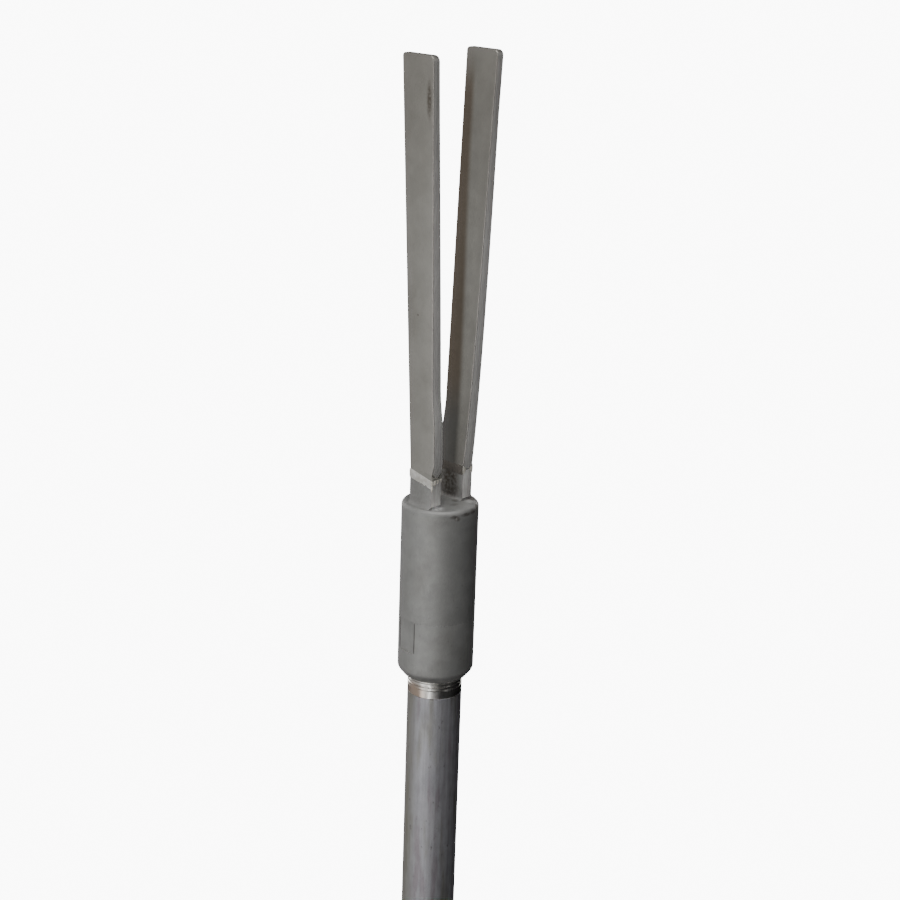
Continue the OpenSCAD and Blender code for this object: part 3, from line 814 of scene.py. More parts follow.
@dataclass(frozen=True)
class PaddleSteel(FiledSteel):
    """Stainless plate, blasted on its faces and draw-filed on its edges, with a brownish painted shadow of
    the left paddle along the far side of the right one's inner face.
    """

    foot: float = 370.0
    tip: float = 600.0
    # Darker towards the tip: the colour, over what length, and how strongly
    aged: str = "#6d665c"
    aged_length: float = 120.0
    aged_strength: float = 0.3
    # The brownish painted shadow of the left paddle on the right one's inner face: its colour, its strength,
    # where it starts across the plate at the foot and at the tip, and how it fades
    brown: str = "#6a5a48"
    brown_strength: float = 0.74
    brown_at_foot: float = -3.4
    brown_at_tip: float = 4.2
    brown_fades: tuple[float, float] = (-1.5, 3.0)
    bare_tip: float = 25.0
    inward: tuple[float, float] = (-0.3, -0.7)
    # The painted shadow's darker grey near the foot, and the heights where the grey ends and where it is
    # whole
    shadow: str = "#5b5a58"
    shadow_ends: float = 60.0
    shadow_whole: float = 25.0

    def colour(self, tree: Tree, where: Socket) -> Socket:
        """Draws the plate, a little darker towards the tip, and the brownish painted shadow of the left
        paddle along the right one's inner face.

        Args:
            tree: The node tree.
            where: The coordinates in millimetres.

        Returns:
            The colour.
        """
        plate = super().colour(tree, where)
        tall = ramps(tree, where, ((2, self.tip - self.aged_length, self.tip, 0.0),), self.aged_strength)
        plate = add_node(tree, "Mix", {0: tall, 6: plate, 7: self.aged}, data_type="RGBA").outputs[2]
        # The painted shadow starts further from the middle towards the tip
        parts = add_node(tree, "SeparateXYZ", {0: where}).outputs
        rise = {0: parts[2], 1: self.foot, 2: self.tip, 3: self.brown_at_foot, 4: self.brown_at_tip}
        start = add_node(tree, "MapRange", rise, **SMOOTH).outputs[0]
        beyond = add_node(tree, "Math", {0: parts[1], 1: start}, operation="SUBTRACT").outputs[0]
        low, high = self.brown_fades
        edge = {0: beyond, 1: low, 2: high, 3: 0.0, 4: self.brown_strength}
        strip = add_node(tree, "MapRange", edge, **SMOOTH).outputs[0]
        right_side = (0, 0.0, 1.0, 0.0)
        strip = ramps(tree, where, (right_side, (2, self.tip, self.tip - self.bare_tip, 0.0)), strip)
        normal = add_node(tree, "TexCoord").outputs["Normal"]
        strip = ramps(tree, normal, ((0, *self.inward, 0.0),), strip)
        near_foot = (2, self.foot + self.shadow_ends, self.foot + self.shadow_whole, 0.0)
        foot = ramps(tree, where, (near_foot,))
        # The painted shadow turns grey near the foot
        tint = add_node(tree, "Mix", {0: foot, 6: self.brown, 7: self.shadow}, data_type="RGBA").outputs[2]
        return add_node(tree, "Mix", {0: strip, 6: plate, 7: tint}, data_type="RGBA").outputs[2]


@dataclass(frozen=True)
class AdapterSteel(Finish):
    """Blasted stainless steel with dark lines along the edges of its wrench flats, fading towards the seam.
    """

    # The colour of the dark lines along the flats' edges
    dirt: str = "#2b2a27"
    turn: float = -8.0
    reach: float = 6.48
    low: float = 270.0
    high: float = 289.0
    ends: float = 17.0
    width: float = 0.5
    core: float = 0.15
    strength: float = 0.75
    fade: float = 1.5
    at_seam: float = 0.3

    def colour(self, tree: Tree, where: Socket) -> Socket:
        """Draws the steel and the dark lines beside the flats.

        Args:
            tree: The node tree.
            where: The coordinates in millimetres.

        Returns:
            The colour.
        """
        base = super().colour(tree, where)
        back = (0, 0, math.radians(-self.turn))
        square = add_node(tree, "Mapping", {"Vector": where, "Rotation": back})
        off = add_node(tree, "VectorMath", {0: square.outputs[0]}, operation="ABSOLUTE").outputs[0]
        steps = (
            (1, self.reach - self.width, self.reach - self.core, 0.0),
            (1, self.reach + self.width, self.reach + self.core, 0.0),
            (0, self.ends, self.ends + 1, 0.0),
            (2, self.low, self.low + 1, 0.0),
            (2, self.high, self.high - self.fade, self.at_seam),
        )
        line = ramps(tree, off, steps, self.strength)
        return add_node(tree, "Mix", {0: line, 6: base, 7: self.dirt}, data_type="RGBA").outputs[2]


@dataclass(frozen=True)
class TurnedSteel(Finish):
    """Stainless steel, bright from the lathe: fine rings and sharp highlights."""

    def height(self, tree: Tree, where: Socket) -> Socket:
        """Draws the tool's rings."""
        return rings(tree, where, self.grain)


@dataclass(frozen=True)
class DrawnSteel(Finish):
    """Drawn and pickled stainless tube: long lines from the drawing die."""

    line_stretch: Spot = (1, 1, 60)

    def height(self, tree: Tree, where: Socket) -> Socket:
        """Draws the drawing lines along the tube."""
        return blotches(tree, where, self.grain, self.line_stretch)


@dataclass(frozen=True)
class WeldSteel(Finish):
    """Weld metal, brushed bright outside, darker and rougher between the paddles."""

    # The darker colour of the beads between the paddles
    dull: str = "#85807a"
    blasted: str = "#a9a7a1"
    inside: float = 11.3
    top: float = 375.4
    drop: float = 3.6
    wide: float = 16.8
    ends: float = 8.3
    fade: float = 0.6
    end_fade: float = 0.1
    wheel_fade: float = 0.7
    dull_rough: float = 0.45
    filed_rough: float = 0.5
    filed_from: float = 0.05
    filed_whole: float = 0.2
    ripple_stretch: Spot = (0.4, 1, 1)
    scratch: float = 0.25
    scratch_stretch: Spot = (1, 1, 12)

    def inner(self, tree: Tree, where: Socket, most: float = 1.0) -> Socket:
        """Finds the beads between the paddles, and gives them a value.

        Args:
            tree: The node tree.
            where: The coordinates in millimetres.
            most: The value on these beads.

        Returns:
            The value, 0 elsewhere.
        """
        out = add_node(tree, "VectorMath", {0: where}, operation="ABSOLUTE").outputs[0]
        steps = (
            (0, self.inside + self.fade, self.inside, 0.0),
            (1, self.ends + self.end_fade, self.ends, 0.0),
        )
        return ramps(tree, out, steps, most)

    def colour(self, tree: Tree, where: Socket) -> Socket:
        """Draws the darker beads between the paddles and the bright ones, the wheel's track sloping across
        them.

        Args:
            tree: The node tree.
            where: The coordinates in millimetres.

        Returns:
            The colour.
        """
        bright = super().colour(tree, where)
        parts = add_node(tree, "SeparateXYZ", {0: where}).outputs
        side = add_node(tree, "Math", {0: parts[0]}, operation="SIGN").outputs[0]
        along = add_node(tree, "Math", {0: side, 1: parts[1]}, operation="MULTIPLY").outputs[0]
        slope = {0: along, 1: self.drop / self.wide, 2: parts[2]}
        level = add_node(tree, "Math", slope, operation="MULTIPLY_ADD").outputs[0]
        edge = self.top - self.drop / 2
        track = {0: level, 1: edge, 2: edge + self.wheel_fade, 3: 0.0, 4: 1.0}
        above = add_node(tree, "MapRange", track, **SMOOTH)
        made = add_node(tree, "Mix", {0: above.outputs[0], 6: bright, 7: self.blasted}, data_type="RGBA")
        made = add_node(
            tree, "Mix", {0: self.inner(tree, where), 6: made.outputs[2], 7: self.dull}, data_type="RGBA"
        )
        return made.outputs[2]

    def gloss(self, tree: Tree, where: Socket) -> Socket:
        """Draws the roughness, higher on the dull beads and on the filed ends.

        Args:
            tree: The node tree.
            where: The coordinates in millimetres.

        Returns:
            The roughness.
        """
        out = add_node(tree, "VectorMath", {0: where}, operation="ABSOLUTE").outputs[0]
        filed = (1, self.ends + self.filed_from, self.ends + self.filed_whole, 0.0)
        end = ramps(tree, out, (filed,), self.filed_rough)
        inner = self.inner(tree, where, self.dull_rough)
        more = add_node(tree, "Math", {0: inner, 1: end}, operation="MAXIMUM").outputs[0]
        return add_node(tree, "Math", {0: super().gloss(tree, where), 1: more}, operation="ADD").outputs[0]

    def height(self, tree: Tree, where: Socket) -> Socket:
        """Draws the ripples of the bead and the scratches of the wheel.

        Args:
            tree: The node tree.
            where: The coordinates in millimetres.

        Returns:
            The height.
        """
        ripple = blotches(tree, where, self.grain, self.ripple_stretch, 2.0)
        scratch = blotches(tree, where, self.scratch, self.scratch_stretch, 2.0)
        return add_node(tree, "Math", {0: ripple, 1: scratch}, operation="ADD").outputs[0]


@dataclass(frozen=True)
class CoatedCasting(Finish):
    """Die-cast aluminium under powder coat: an even tone with a fine orange peel."""

    wave: float = 9.0

    def height(self, tree: Tree, where: Socket) -> Socket:
        """Draws the orange peel over the casting's slow waves.

        Args:
            tree: The node tree.
            where: The coordinates in millimetres.

        Returns:
            The height.
        """
        peel = blotches(tree, where, self.grain, detail=1.0)
        wave = blotches(tree, where, self.wave, detail=1.0)
        return add_node(tree, "Math", {0: peel, 1: wave}, operation="ADD").outputs[0]


@dataclass(frozen=True)
class LampPlastic(Finish):
    """Clear red acrylic of the signal lamp, polished: light goes into it and shines back."""

    through: float = 0.55

    def shader(self, tree: Tree) -> bpy.types.Node:
        """Makes the shader partly clear.

        Args:
            tree: The node tree.

        Returns:
            The shader's node.
        """
        bsdf = super().shader(tree)
        bsdf.inputs["Transmission Weight"].default_value = self.through
        return bsdf


class Finishes:
    """Every finish of the object, each made once and kept by the record's slot."""

    def __init__(self) -> None:
        """Makes the materials."""
        stain = "#6d665c"
        # Dark grime for marks, also used for painted shade round the stubs
        soil = "#4f463b"
        olive = "#86836c"
        # What hands leave on blasted steel: faint clouds and flecks
        handling = (
            Cloud(stain, 26.0, 0.5, 0.72, 0.16, (1, 1, 1.6), 4.0),
            Cloud(stain, 1.4, 0.66, 0.75, 0.16, (1, 1, 1.5), 2.0),
        )
        # Dark patches round the rim and the stubs, some of them painted shade
        rim_marks = [
            Patch(soil, centre, reach, strength)
            for centre, reach, strength in (
                # Dark patches along the rim's front
                ((-9.0, -19.6, 352.6), (3.6, 3.0, 1.5), 0.55),
                ((-7.0, -20.3, 351.4), (2.6, 2.2, 1.9), 0.65),
                ((-1.4, -21.4, 353.1), (4.6, 2.6, 1.6), 0.65),
                ((4.6, -20.9, 353.6), (4.2, 3.0, 2.2), 0.65),
                ((9.8, -18.6, 354.6), (3.6, 4.0, 1.6), 0.85),
                ((14.5, -11.0, 355.4), (4.0, 5.0, 1.6), 0.7),
                # Painted shade on the top between the stubs, and the painted shadow of the left stub on the
                # right stub's inner face
                ((5.4, -6.0, 355.7), (2.8, 2.8, 1.4), 0.6),
                ((0.5, -10.5, 355.6), (4.0, 2.6, 1.2), 0.4),
                ((8.4, 2.0, 365.0), (1.8, 10.5, 17.0), 0.85),
                # Faint darker patches on the left stub's outer face and the barrel's front
                ((-15.9, 0.0, 364.0), (3.0, 16.0, 18.0), 0.16),
                ((-15.0, -15.0, 351.0), (14.0, 14.0, 6.0), 0.14),
            )
        ]
        # Painted light: white patches that fill the shade at the feet of the stubs' near faces
        foot_rubs = (
            Patch("#ffffff", (-11.9, -10.2, 355.6), (5.6, 4.4, 2.2), 0.6),
            Patch("#ffffff", (11.0, -12.0, 355.6), (4.4, 4.0, 1.8), 0.3),
        )
        paddle_marks = (
            Patch(soil, (-20.0, 1.5, 463.4), (0.9, 0.9, 0.9), 0.5),
            Patch(soil, (-25.0, -7.6, 578.0), (3.0, 2.4, 14.0), 0.8),
        )
        # The tube's streaks, its tints in violet, olive and grey, an olive painted reflection along its left
        # side, and its spots
        tints = (
            Cloud("#b3b2b6", 2.2, 0.36, 0.64, 1.0, (1, 1, 40), 4.0, 0.6),
            Cloud("#94828a", 7.0, 0.52, 0.7, 0.45, (1, 1, 7)),
            Cloud(olive, 7.0, 0.48, 0.3, 0.4, (1, 1, 7)),
            Cloud("#7f7f86", 9.0, 0.45, 0.68, 0.2, (1, 1, 2.2), 4.0, 0.6),
            # Painted reflection: olive along the tube's left side, all its length
            Patch(olive, (-15.0, 7.0, 100.0), (12.0, 12.0, 500.0), 0.5, 0.9, 0.0),
            Cloud("#5a5550", 3.0, 0.62, 0.72, 0.4, (1, 1, 2), 4.0, 0.7),
        )
        recipes: dict[str, Finish] = {
            # Blasted stainless steel: no sharp reflections, so form reads from soft shading
            "blasted_steel": FiledSteel(
                "blasted_stainless_steel", "#acacaa", "#a5a5a3", 1.0, 0.68,
                grain=0.35, relief=0.22, depth=0.03, layers=(*handling, *rim_marks, *foot_rubs),
            ),
            # The same, on plate: beige grey faces, and filed edges painted paler and bluer as a painted sheen
            "paddle_steel": PaddleSteel(
                "blasted_stainless_plate", "#b1afa9", "#a9a7a1", 1.0, 0.57,
                grain=0.4, relief=0.2, depth=0.03, mottle=16.0, layers=(*handling, *paddle_marks),
            ),
            # The adapter's steel is blasted in the same batch
            "adapter_steel": AdapterSteel(
                "blasted_stainless_adapter", "#b0b0ae", "#a8a8a6", 1.0, 0.7,
                grain=0.35, relief=0.22, depth=0.03, layers=handling,
            ),
            # Ground weld metal: the brightest steel on the object
            "weld_metal": WeldSteel(
                "ground_weld_metal", "#fbf9f3", "#e6e3da", 1.0, 0.34,
                grain=1.1, relief=0.3, depth=0.08, mottle=3.0,
            ),
            # Bright turned stainless steel: rings catch the light across the axis
            "turned_steel": TurnedSteel(
                "bright_turned_stainless_steel", "#b9b8b4", "#aaa9a6", 1.0, 0.24,
                grain=0.16, relief=0.18, depth=0.02,
            ),
            # The nipple, turned too, with a warm painted reflection on its left side near the foot
            "nipple_steel": TurnedSteel(
                "heat_tinted_turned_steel", "#f1efeb", "#e5e3de", 1.0, 0.29, grain=0.3, relief=0.04,
                # Painted reflection: a warm patch on the nipple's left side
                depth=0.02, layers=(Patch("#a98c74", (-15.4, 1.8, 244.0), (9, 12, 9), 0.75, 0.7, 0.0),),
            ),
            # Drawn and pickled tube: streaks along it, cloudy tints across
            "drawn_steel": DrawnSteel(
                "drawn_pickled_stainless_tube", "#bfbfc3", "#bfbfc3", 1.0, 0.62,
                grain=0.4, relief=0.14, depth=0.03, layers=tints,
            ),
            # Zinc-plated steel screws: a cool, fairly sharp gloss
            "screw_steel": TurnedSteel(
                "zinc_plated_steel", "#c3c5c6", "#b2b4b6", 1.0, 0.3, grain=0.12, relief=0.15, depth=0.02,
            ),
            # Rolled brass sheet: warm yellow, brushed
            "contact_brass": Finish(
                "rolled_brass", "#d8b468", "#c8a356", 1.0, 0.3, grain=0.2, relief=0.1, depth=0.02, mottle=4.0,
            ),
            # Nickel-plated brass: warm grey, smoother than the steel
            "gland_brass": TurnedSteel(
                "nickel_plated_brass", "#cbc8bf", "#bdb9af", 1.0, 0.26, grain=0.14, relief=0.14, depth=0.02,
            ),
            # Powder-coated die casting: dielectric coat, soft gloss
            "housing_aluminium": CoatedCasting(
                "powder_coated_aluminium", "#7b858c", "#747e85", 0.0, 0.42, 1.5,
                grain=0.9, relief=0.35, depth=0.08, mottle=30.0,
            ),
            # EPDM rubber seals: dull black, with a light bloom in patches
            "seal_rubber": Finish(
                "moulded_rubber", "#262626", "#1f1f1f", 0.0, 0.72, 1.52, grain=0.5, relief=0.2, mottle=6.0,
                layers=(Cloud("#4a4a48", 3.5, 0.6, 0.72, 0.4, detail=5.0, rough=0.7),),
            ),
            # Silicone plug round the leads, brick red with the same bloom
            "lead_rubber": Finish(
                "cast_silicone", "#a6513a", "#984732", 0.0, 0.6, 1.43, grain=0.8, relief=0.1, mottle=5.0,
                layers=(Cloud("#b5705c", 3.5, 0.6, 0.72, 0.4, detail=5.0, rough=0.7),),
            ),
            # PEEK and PTFE discs: off-white, waxy
            "insulator": Finish(
                "machined_ptfe", "#e6e3da", "#dcd8cd", 0.0, 0.5, 1.38, grain=0.3, relief=0.12, mottle=5.0,
            ),
            # Fired ceramic: matt cream with a dense fine grain
            "piezo_ceramic": Finish(
                "fired_ceramic", "#d9d2bf", "#cfc7b2", 0.0, 0.55, 1.9, grain=0.15, relief=0.1, mottle=3.0,
            ),
            # Silicone-sheathed lead: smooth and slightly shiny
            "lead_sheath": Finish(
                "silicone_sheath", "#a33a2c", "#963225", 0.0, 0.45, 1.43, grain=0.4, relief=0.08, mottle=4.0,
            ),
            # Glass-filled polyamide: dark, slightly streaky where it flowed
            "insert_plastic": Finish(
                "glass_filled_polyamide", "#3e4245", "#373b3e", 0.0, 0.48, 1.53,
                grain=0.5, relief=0.18, mottle=9.0,
            ),
            # Terminal block: lighter grey polyamide, without glass and so a little smoother
            "terminal_plastic": Finish(
                "grey_polyamide", "#5b6063", "#53585b", 0.0, 0.42, 1.53, grain=0.4, relief=0.12, mottle=6.0,
            ),
            # Sliders: ivory acetal, slippery and satin
            "slider_plastic": Finish(
                "ivory_acetal", "#dad5c6", "#d0cab9", 0.0, 0.38, 1.48, grain=0.3, relief=0.08, mottle=4.0,
            ),
            # Lamp: polished acrylic, a sharp small highlight and depth
            "lens_plastic": LampPlastic(
                "clear_red_acrylic", "#c8372d", "#b92c24", 0.0, 0.12, 1.49,
                grain=0.6, relief=0.03, mottle=3.0,
            ),
        }
        self.made = {slot: recipe.build() for slot, recipe in recipes.items()}

    def get(self, slot: str) -> bpy.types.Material:
        """Gives the material of a slot."""
        return self.made[slot]


@dataclass
class Assembly:
    """A group of pieces on one CAD body, with the finishes that they share."""

    finishes: Finishes
    body: str

    def hand_over(
        self,
        piece: Piece,
        slot: str,
        nodes: Sequence[str] = (),
        finish: str | None = None,
        angle: float = 28.0,
    ) -> Piece:
        """Dresses a finished piece, ties it to its body and reports it.

        Args:
            piece: The piece, with its place in its mesh.
            slot: The record's slot that its finish belongs to.
            nodes: The CAD nodes that it stands for.
            finish: The finish, if it isn't the slot's own.
            angle: Edges flatter than this many degrees are shaded smooth.

        Returns:
            The piece.
        """
        settle(piece)
        close_up(piece)
        bpy.ops.object.shade_smooth_by_angle(angle=math.radians(angle))
        piece.data.materials.clear()
        piece.data.materials.append(self.finishes.get(finish or slot))
        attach(piece, self.body)
        if nodes:
            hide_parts(*nodes)
        log.info("%s on %s: %d faces", piece.name, self.body, len(piece.data.polygons))
        return piece

    def repaint(self, slot: str, *nodes: str) -> None:
        """Gives CAD nodes that stay as they are their detailed material.

        Args:
            slot: The finish.
            nodes: The nodes' names.
        """
        for node in nodes:
            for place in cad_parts[node].material_slots:
                place.material = self.finishes.get(slot)
            log.info("%s keeps its shape", node)


@dataclass
class Fork(Assembly):
    """The fork body with its two stubs, the two paddles and their welds."""

    shoulder: float = 355.6
    seam: float = 289.0
    radius: float = 21.5
    shoulder_r: float = 2.4
    stub_h: float = 17.4
    stub_sink: float = 1.0
    stub_edge: float = 0.2
    root_w: float = 16.8
    root_t: float = 7.4
    root_out: float = 15.9
    paddle_edge: float = 0.7
    tip_h: float = 244.4
    tip_w: float = 22.0
    tip_t: float = 4.8
    tip_out: float = 26.1
    near_r: float = 3.2
    far_r: float = 1.9
    blend_r: float = 2.5
    gap_r: float = 2.0
    groove: float = 2.4
    weld_half: float = 2.6
    weld_proud: float = 0.3
    weld_root: float = 0.2
    weld_over: float = 0.15
    weld_wave: float = 0.12
    weld_sag: float = 0.5
    bead_drop: float = 3.4
    swell: float = 1.5
    swell_foot: float = 8.0
    swell_lead: float = 4.0
    swell_run: float = 22.0
    near_swell_h: float = 31.0
    far_swell_h: float = 21.0
    near_rise: float = 0.4
    far_rise: float = 1.0
    flare: float = 0.9
    near_bulge: float = 0.4
    far_bulge: float = 1.4
    bulge_run: float = 195.0
    bulge_bias: float = 0.7
    bulge_rows: tuple[float, ...] = (60, 80, 100, 120, 140, 160, 180, 195)
    nick_at: Spot = (-8.4, -21.6, 352.0)
    nick_r: float = 2.0
    seam_edge: float = 0.08
    socket_r: float = 17.15
    socket_l: float = 12.05
    chamber_r: float = 15.0
    roof: float = 3.6
    boss_r: float = 7.0
    boss_h: float = 5.4
    bolt_r: float = 4.05
    bolt_h: float = 6.45
    hub_r: float = 2.0
    rim_row: float = 6.0
    arc_steps: int = 10
    swell_rows: int = 8
    tip_steps: int = 8
    outer_share: float = 0.95
    sharp: float = 50.0
    bead_rows: int = 48
    wave_scale: Spot = (0.3, 0.55, 0.6)
    sag_scale: Spot = (0.2, 1.3, 0.2)
    sag_shift: float = 7.0
    toe_deep: float = 0.7
    toe_rough: float = 0.08

    def barrel(self) -> Piece:
        """Turns the barrel with its rounded shoulder, chamber and boss.

        Returns:
            The barrel.
        """
        z = self.shoulder
        roof = z - self.roof
        rim = [
            (
                self.radius - self.shoulder_r * (1 - math.cos(t)),
                z - self.shoulder_r * (1 - math.sin(t)),
            )
            for t in [
                math.radians(90 * (1 - i / self.arc_steps)) for i in range(self.arc_steps + 1)
            ]
        ]
        outline = [
            (self.hub_r, z),
            *rim,
            (self.radius, z - self.rim_row),
            (self.radius, self.seam + self.seam_edge),
            (self.radius - self.seam_edge, self.seam),
            (self.socket_r, self.seam),
            (self.socket_r, self.seam + self.socket_l),
            (self.chamber_r, self.seam + self.socket_l),
            (self.chamber_r, roof),
            (self.boss_r, roof),
            (self.boss_r, roof - self.boss_h),
            (self.bolt_r, roof - self.boss_h),
            (self.bolt_r, roof - self.boss_h + self.bolt_h),
        ]
        return turned("fork_body_steel", outline, ring=False)

    def stub(self, side: int) -> Piece:
        """Traces a stub with its flared foot and rounds its upright edges.

        Args:
            side: 1 for the right stub, -1 for the left one.

        Returns:
            The stub.
        """
        z = self.shoulder
        root_in = self.root_out - self.root_t
        arc = [math.radians(90 * i / self.arc_steps) for i in range(self.arc_steps + 1)]
        outline = [
            (self.root_out + self.blend_r, -self.stub_sink),
            (root_in - self.gap_r, -self.stub_sink),
            *[(root_in - self.gap_r * (1 - math.sin(t)), self.gap_r * (1 - math.cos(t))) for t in arc],
            (root_in, self.stub_h - self.weld_half),
            (root_in + self.groove, self.stub_h),
            (self.root_out - self.groove, self.stub_h),
            (self.root_out, self.stub_h - self.weld_half),
            *[
                (self.root_out + self.blend_r * (1 - math.cos(t)), self.blend_r * (1 - math.sin(t)))
                for t in arc
            ],
        ]
        placed = [(side * x, z + h) for x, h in outline]
        half = self.root_w / 2
        piece = traced("stub", placed, -half, half)
        with editing(piece):
            choose(
                piece, Pick.EDGES,
                lambda m, way: abs(abs(m.y) - half) < SAME and m.z > z + self.gap_r / 4,
            )
            bpy.ops.mesh.bevel(offset=self.stub_edge * MM, segments=2)
        close_up(piece)
        return piece

    def nick(self, piece: Piece) -> None:
        """Knocks a small dent into the rim, where the real one has been hit.

        Args:
            piece: The fork body.
        """
        deselect()
        place = Vector(self.nick_at) * MM
        bpy.ops.mesh.primitive_ico_sphere_add(subdivisions=3, radius=self.nick_r * MM, location=place)
        tool = bpy.context.object
        settle(tool)
        joined(piece, tool, Join.CUT)

    def swelling(self, height: float, reach: float) -> float:
        """Works out how far a paddle's edge swells where its weld was built up.

        Args:
            height: The height above the weld.
            reach: The height where the swelling starts to fade.

        Returns:
            How far the edge stands out.
        """
        fade = max(0.0, min(1.0, (height - reach + self.swell_lead) / self.swell_run))
        return self.swell * min(1.0, height / self.swell_foot) * (1 - fade * fade * (3 - 2 * fade))

    def bulging(self, height: float, side: int) -> float:
        """Works out how far a paddle's near edge bulges along its lower part.

        Args:
            height: The height above the weld.
            side: 1 for the right paddle, -1 for the left one.

        Returns:
            How far the edge stands out.
        """
        most = self.far_bulge if side > 0 else self.near_bulge
        share = min(1.0, height / self.bulge_run)
        return most * math.sin(math.pi * share**self.bulge_bias)

    def paddle(self, name: str, side: int) -> Piece:
        """Shapes a paddle from a block: leaning, wider and thinner upwards, with rounded corners.

        Args:
            name: The paddle's name.
            side: 1 for the right paddle, -1 for the left one.

        Returns:
            The paddle.
        """
        z = self.shoulder
        low = z + self.stub_h
        high = z + self.tip_h + (self.far_rise if side > 0 else self.near_rise)
        mid = side * (self.root_out - self.root_t / 2)
        lean = side * (self.tip_out - self.tip_t / 2) - mid
        half = self.root_w / 2
        # The paddle's edges are further out than this
        rim = self.outer_share * half
        piece = block(name, (mid - self.root_t / 2, -half, low), (mid + self.root_t / 2, half, high))
        with editing(piece):
            choose(piece, Pick.FACES, lambda m, way: way.z > ALONG)
            bpy.ops.transform.resize(
                value=(self.tip_t / self.root_t, (self.tip_w + self.flare) / self.root_w, 1),
                center_override=(mid * MM, 0, high * MM),
            )
            bpy.ops.transform.translate(value=(lean * MM, self.flare / 2 * MM, 0))
            reach = self.far_swell_h if side > 0 else self.near_swell_h
            fading = [
                reach - self.swell_lead + self.swell_run * i / self.swell_rows
                for i in range(self.swell_rows + 1)
            ]
            rows = [self.swell_foot, *fading, *self.bulge_rows]
            for row in rows:
                bpy.ops.mesh.select_all(action="SELECT")
                bpy.ops.mesh.bisect(plane_co=(0, 0, (low + row) * MM), plane_no=(0, 0, 1))
            for row in rows:
                for edge, shift in ((side, self.swelling(row, reach)), (-1, self.bulging(row, side))):
                    bpy.ops.mesh.select_all(action="DESELECT")
                    choose(
                        piece, Pick.VERTS,
                        lambda m, way: abs(m.z - low - row) < SAME and m.y * edge > rim,
                    )
                    bpy.ops.transform.translate(value=(0, edge * shift * MM, 0))
            for near, radius in ((-1, self.near_r), (1, self.far_r)):
                bpy.ops.mesh.select_all(action="DESELECT")
                choose(
                    piece, Pick.EDGES,
                    lambda m, way: m.z > high - SAME and abs(way.x) > ALONG and m.y * near > rim,
                )
                bpy.ops.mesh.bevel(offset=radius * MM, segments=self.tip_steps)
            bpy.ops.mesh.select_all(action="DESELECT")
            choose(piece, Pick.EDGES, lambda m, way: m.z < low + SAME and abs(way.y) > ALONG)
            bpy.ops.mesh.bevel(offset=self.groove * MM, segments=1)
        apply(
            piece, "BEVEL", width=self.paddle_edge * MM, segments=4, limit_method="ANGLE",
            angle_limit=math.radians(self.sharp), use_clamp_overlap=True,
        )
        return piece

    def bead(self, side: int, wide: bool) -> Piece:
        """Lays one weld bead in its groove, ground nearly flush.

        Args:
            side: 1 for the right paddle, -1 for the left one.
            wide: True for the outer face, False for the inner one.

        Returns:
            The bead.
        """
        z = self.shoulder
        face = self.root_out if wide else self.root_out - self.root_t
        tip = self.tip_out if wide else self.tip_out - self.tip_t
        way = 1 if wide else -1
        rise = (tip - face) / (self.tip_h - self.stub_h) * self.weld_half
        bulge = [way * self.weld_proud * math.sin(math.pi * i / 6) for i in range(7)]
        crown = [(face + bulge[i] + rise * i / 6, self.weld_half * (i / 3 - 1)) for i in range(7)]
        outline = [(face - way * self.groove, 0.0), *crown]
        placed = [(side * x, z + self.stub_h + h) for x, h in outline]
        half = self.root_w / 2 + self.weld_over
        piece = traced("bead", placed, -half, half, self.bead_rows)
        for vertex in piece.data.vertices:
            spot = vertex.co / MM
            wave = waver(spot, self.wave_scale)
            edge = waver(spot, self.sag_scale, side * self.sag_shift)
            if abs(spot.x) > self.root_out - self.groove + self.weld_root or not wide:
                vertex.co.x += side * way * self.weld_wave * wave * MM
                vertex.co.z += self.weld_sag * edge * MM
            below = max(0.0, z + self.stub_h - spot.z) / self.weld_half
            if wide:
                vertex.co.z -= self.bead_drop * below * (half + side * spot.y) / (2 * half) * MM
        return piece

    def toes(self, side: int) -> list[Piece]:
        """Adds the toes of the weld that run over the paddle's narrow edge, and the drip.

        Args:
            side: 1 for the right paddle, -1 for the left one.

        Returns:
            The toes.
        """
        edge = self.root_w / 2
        made = []
        # How far out, how far above the weld, half the width and half the height of each
        places = (
            (15.4, -1.6, 1.15, 3.0),
            (15.6, -5.4, 0.55, 2.2),
            (13.4, -2.1, 0.9, 2.3),
            (11.2, -1.6, 0.85, 1.9),
            (14.6, -0.2, 1.5, 1.0),
            (12.2, -0.4, 1.4, 0.9),
        )
        for x, h, across, tall in places:
            deselect()
            bpy.ops.mesh.primitive_ico_sphere_add(subdivisions=3, radius=MM)
            piece = bpy.context.object
            piece.scale = (across, self.toe_deep, tall)
            piece.location = Vector((side * x, side * edge, self.shoulder + self.stub_h + h)) * MM
            settle(piece)
            with editing(piece):
                bpy.ops.mesh.select_all(action="SELECT")
                bpy.ops.transform.vertex_random(offset=self.toe_rough * MM, seed=int(x * 10))
            made.append(piece)
        return made

    def build(self) -> None:
        """Builds and dresses the fork."""
        body = self.barrel()
        for side in (-1, 1):
            joined(body, self.stub(side), Join.ADD)
        self.nick(body)
        self.hand_over(body, "blasted_steel", ("fork_body",))
        for name, node, side in (("left_blade", "left_paddle", -1), ("right_blade", "right_paddle", 1)):
            self.hand_over(self.paddle(name, side), "paddle_steel", (node,))
        beads = [self.bead(side, wide) for side in (-1, 1) for wide in (True, False)]
        toes = [piece for side in (-1, 1) for piece in self.toes(side)]
        self.hand_over(gathered("weld_beads", beads + toes), "weld_metal", ("paddle_welds",), angle=50)


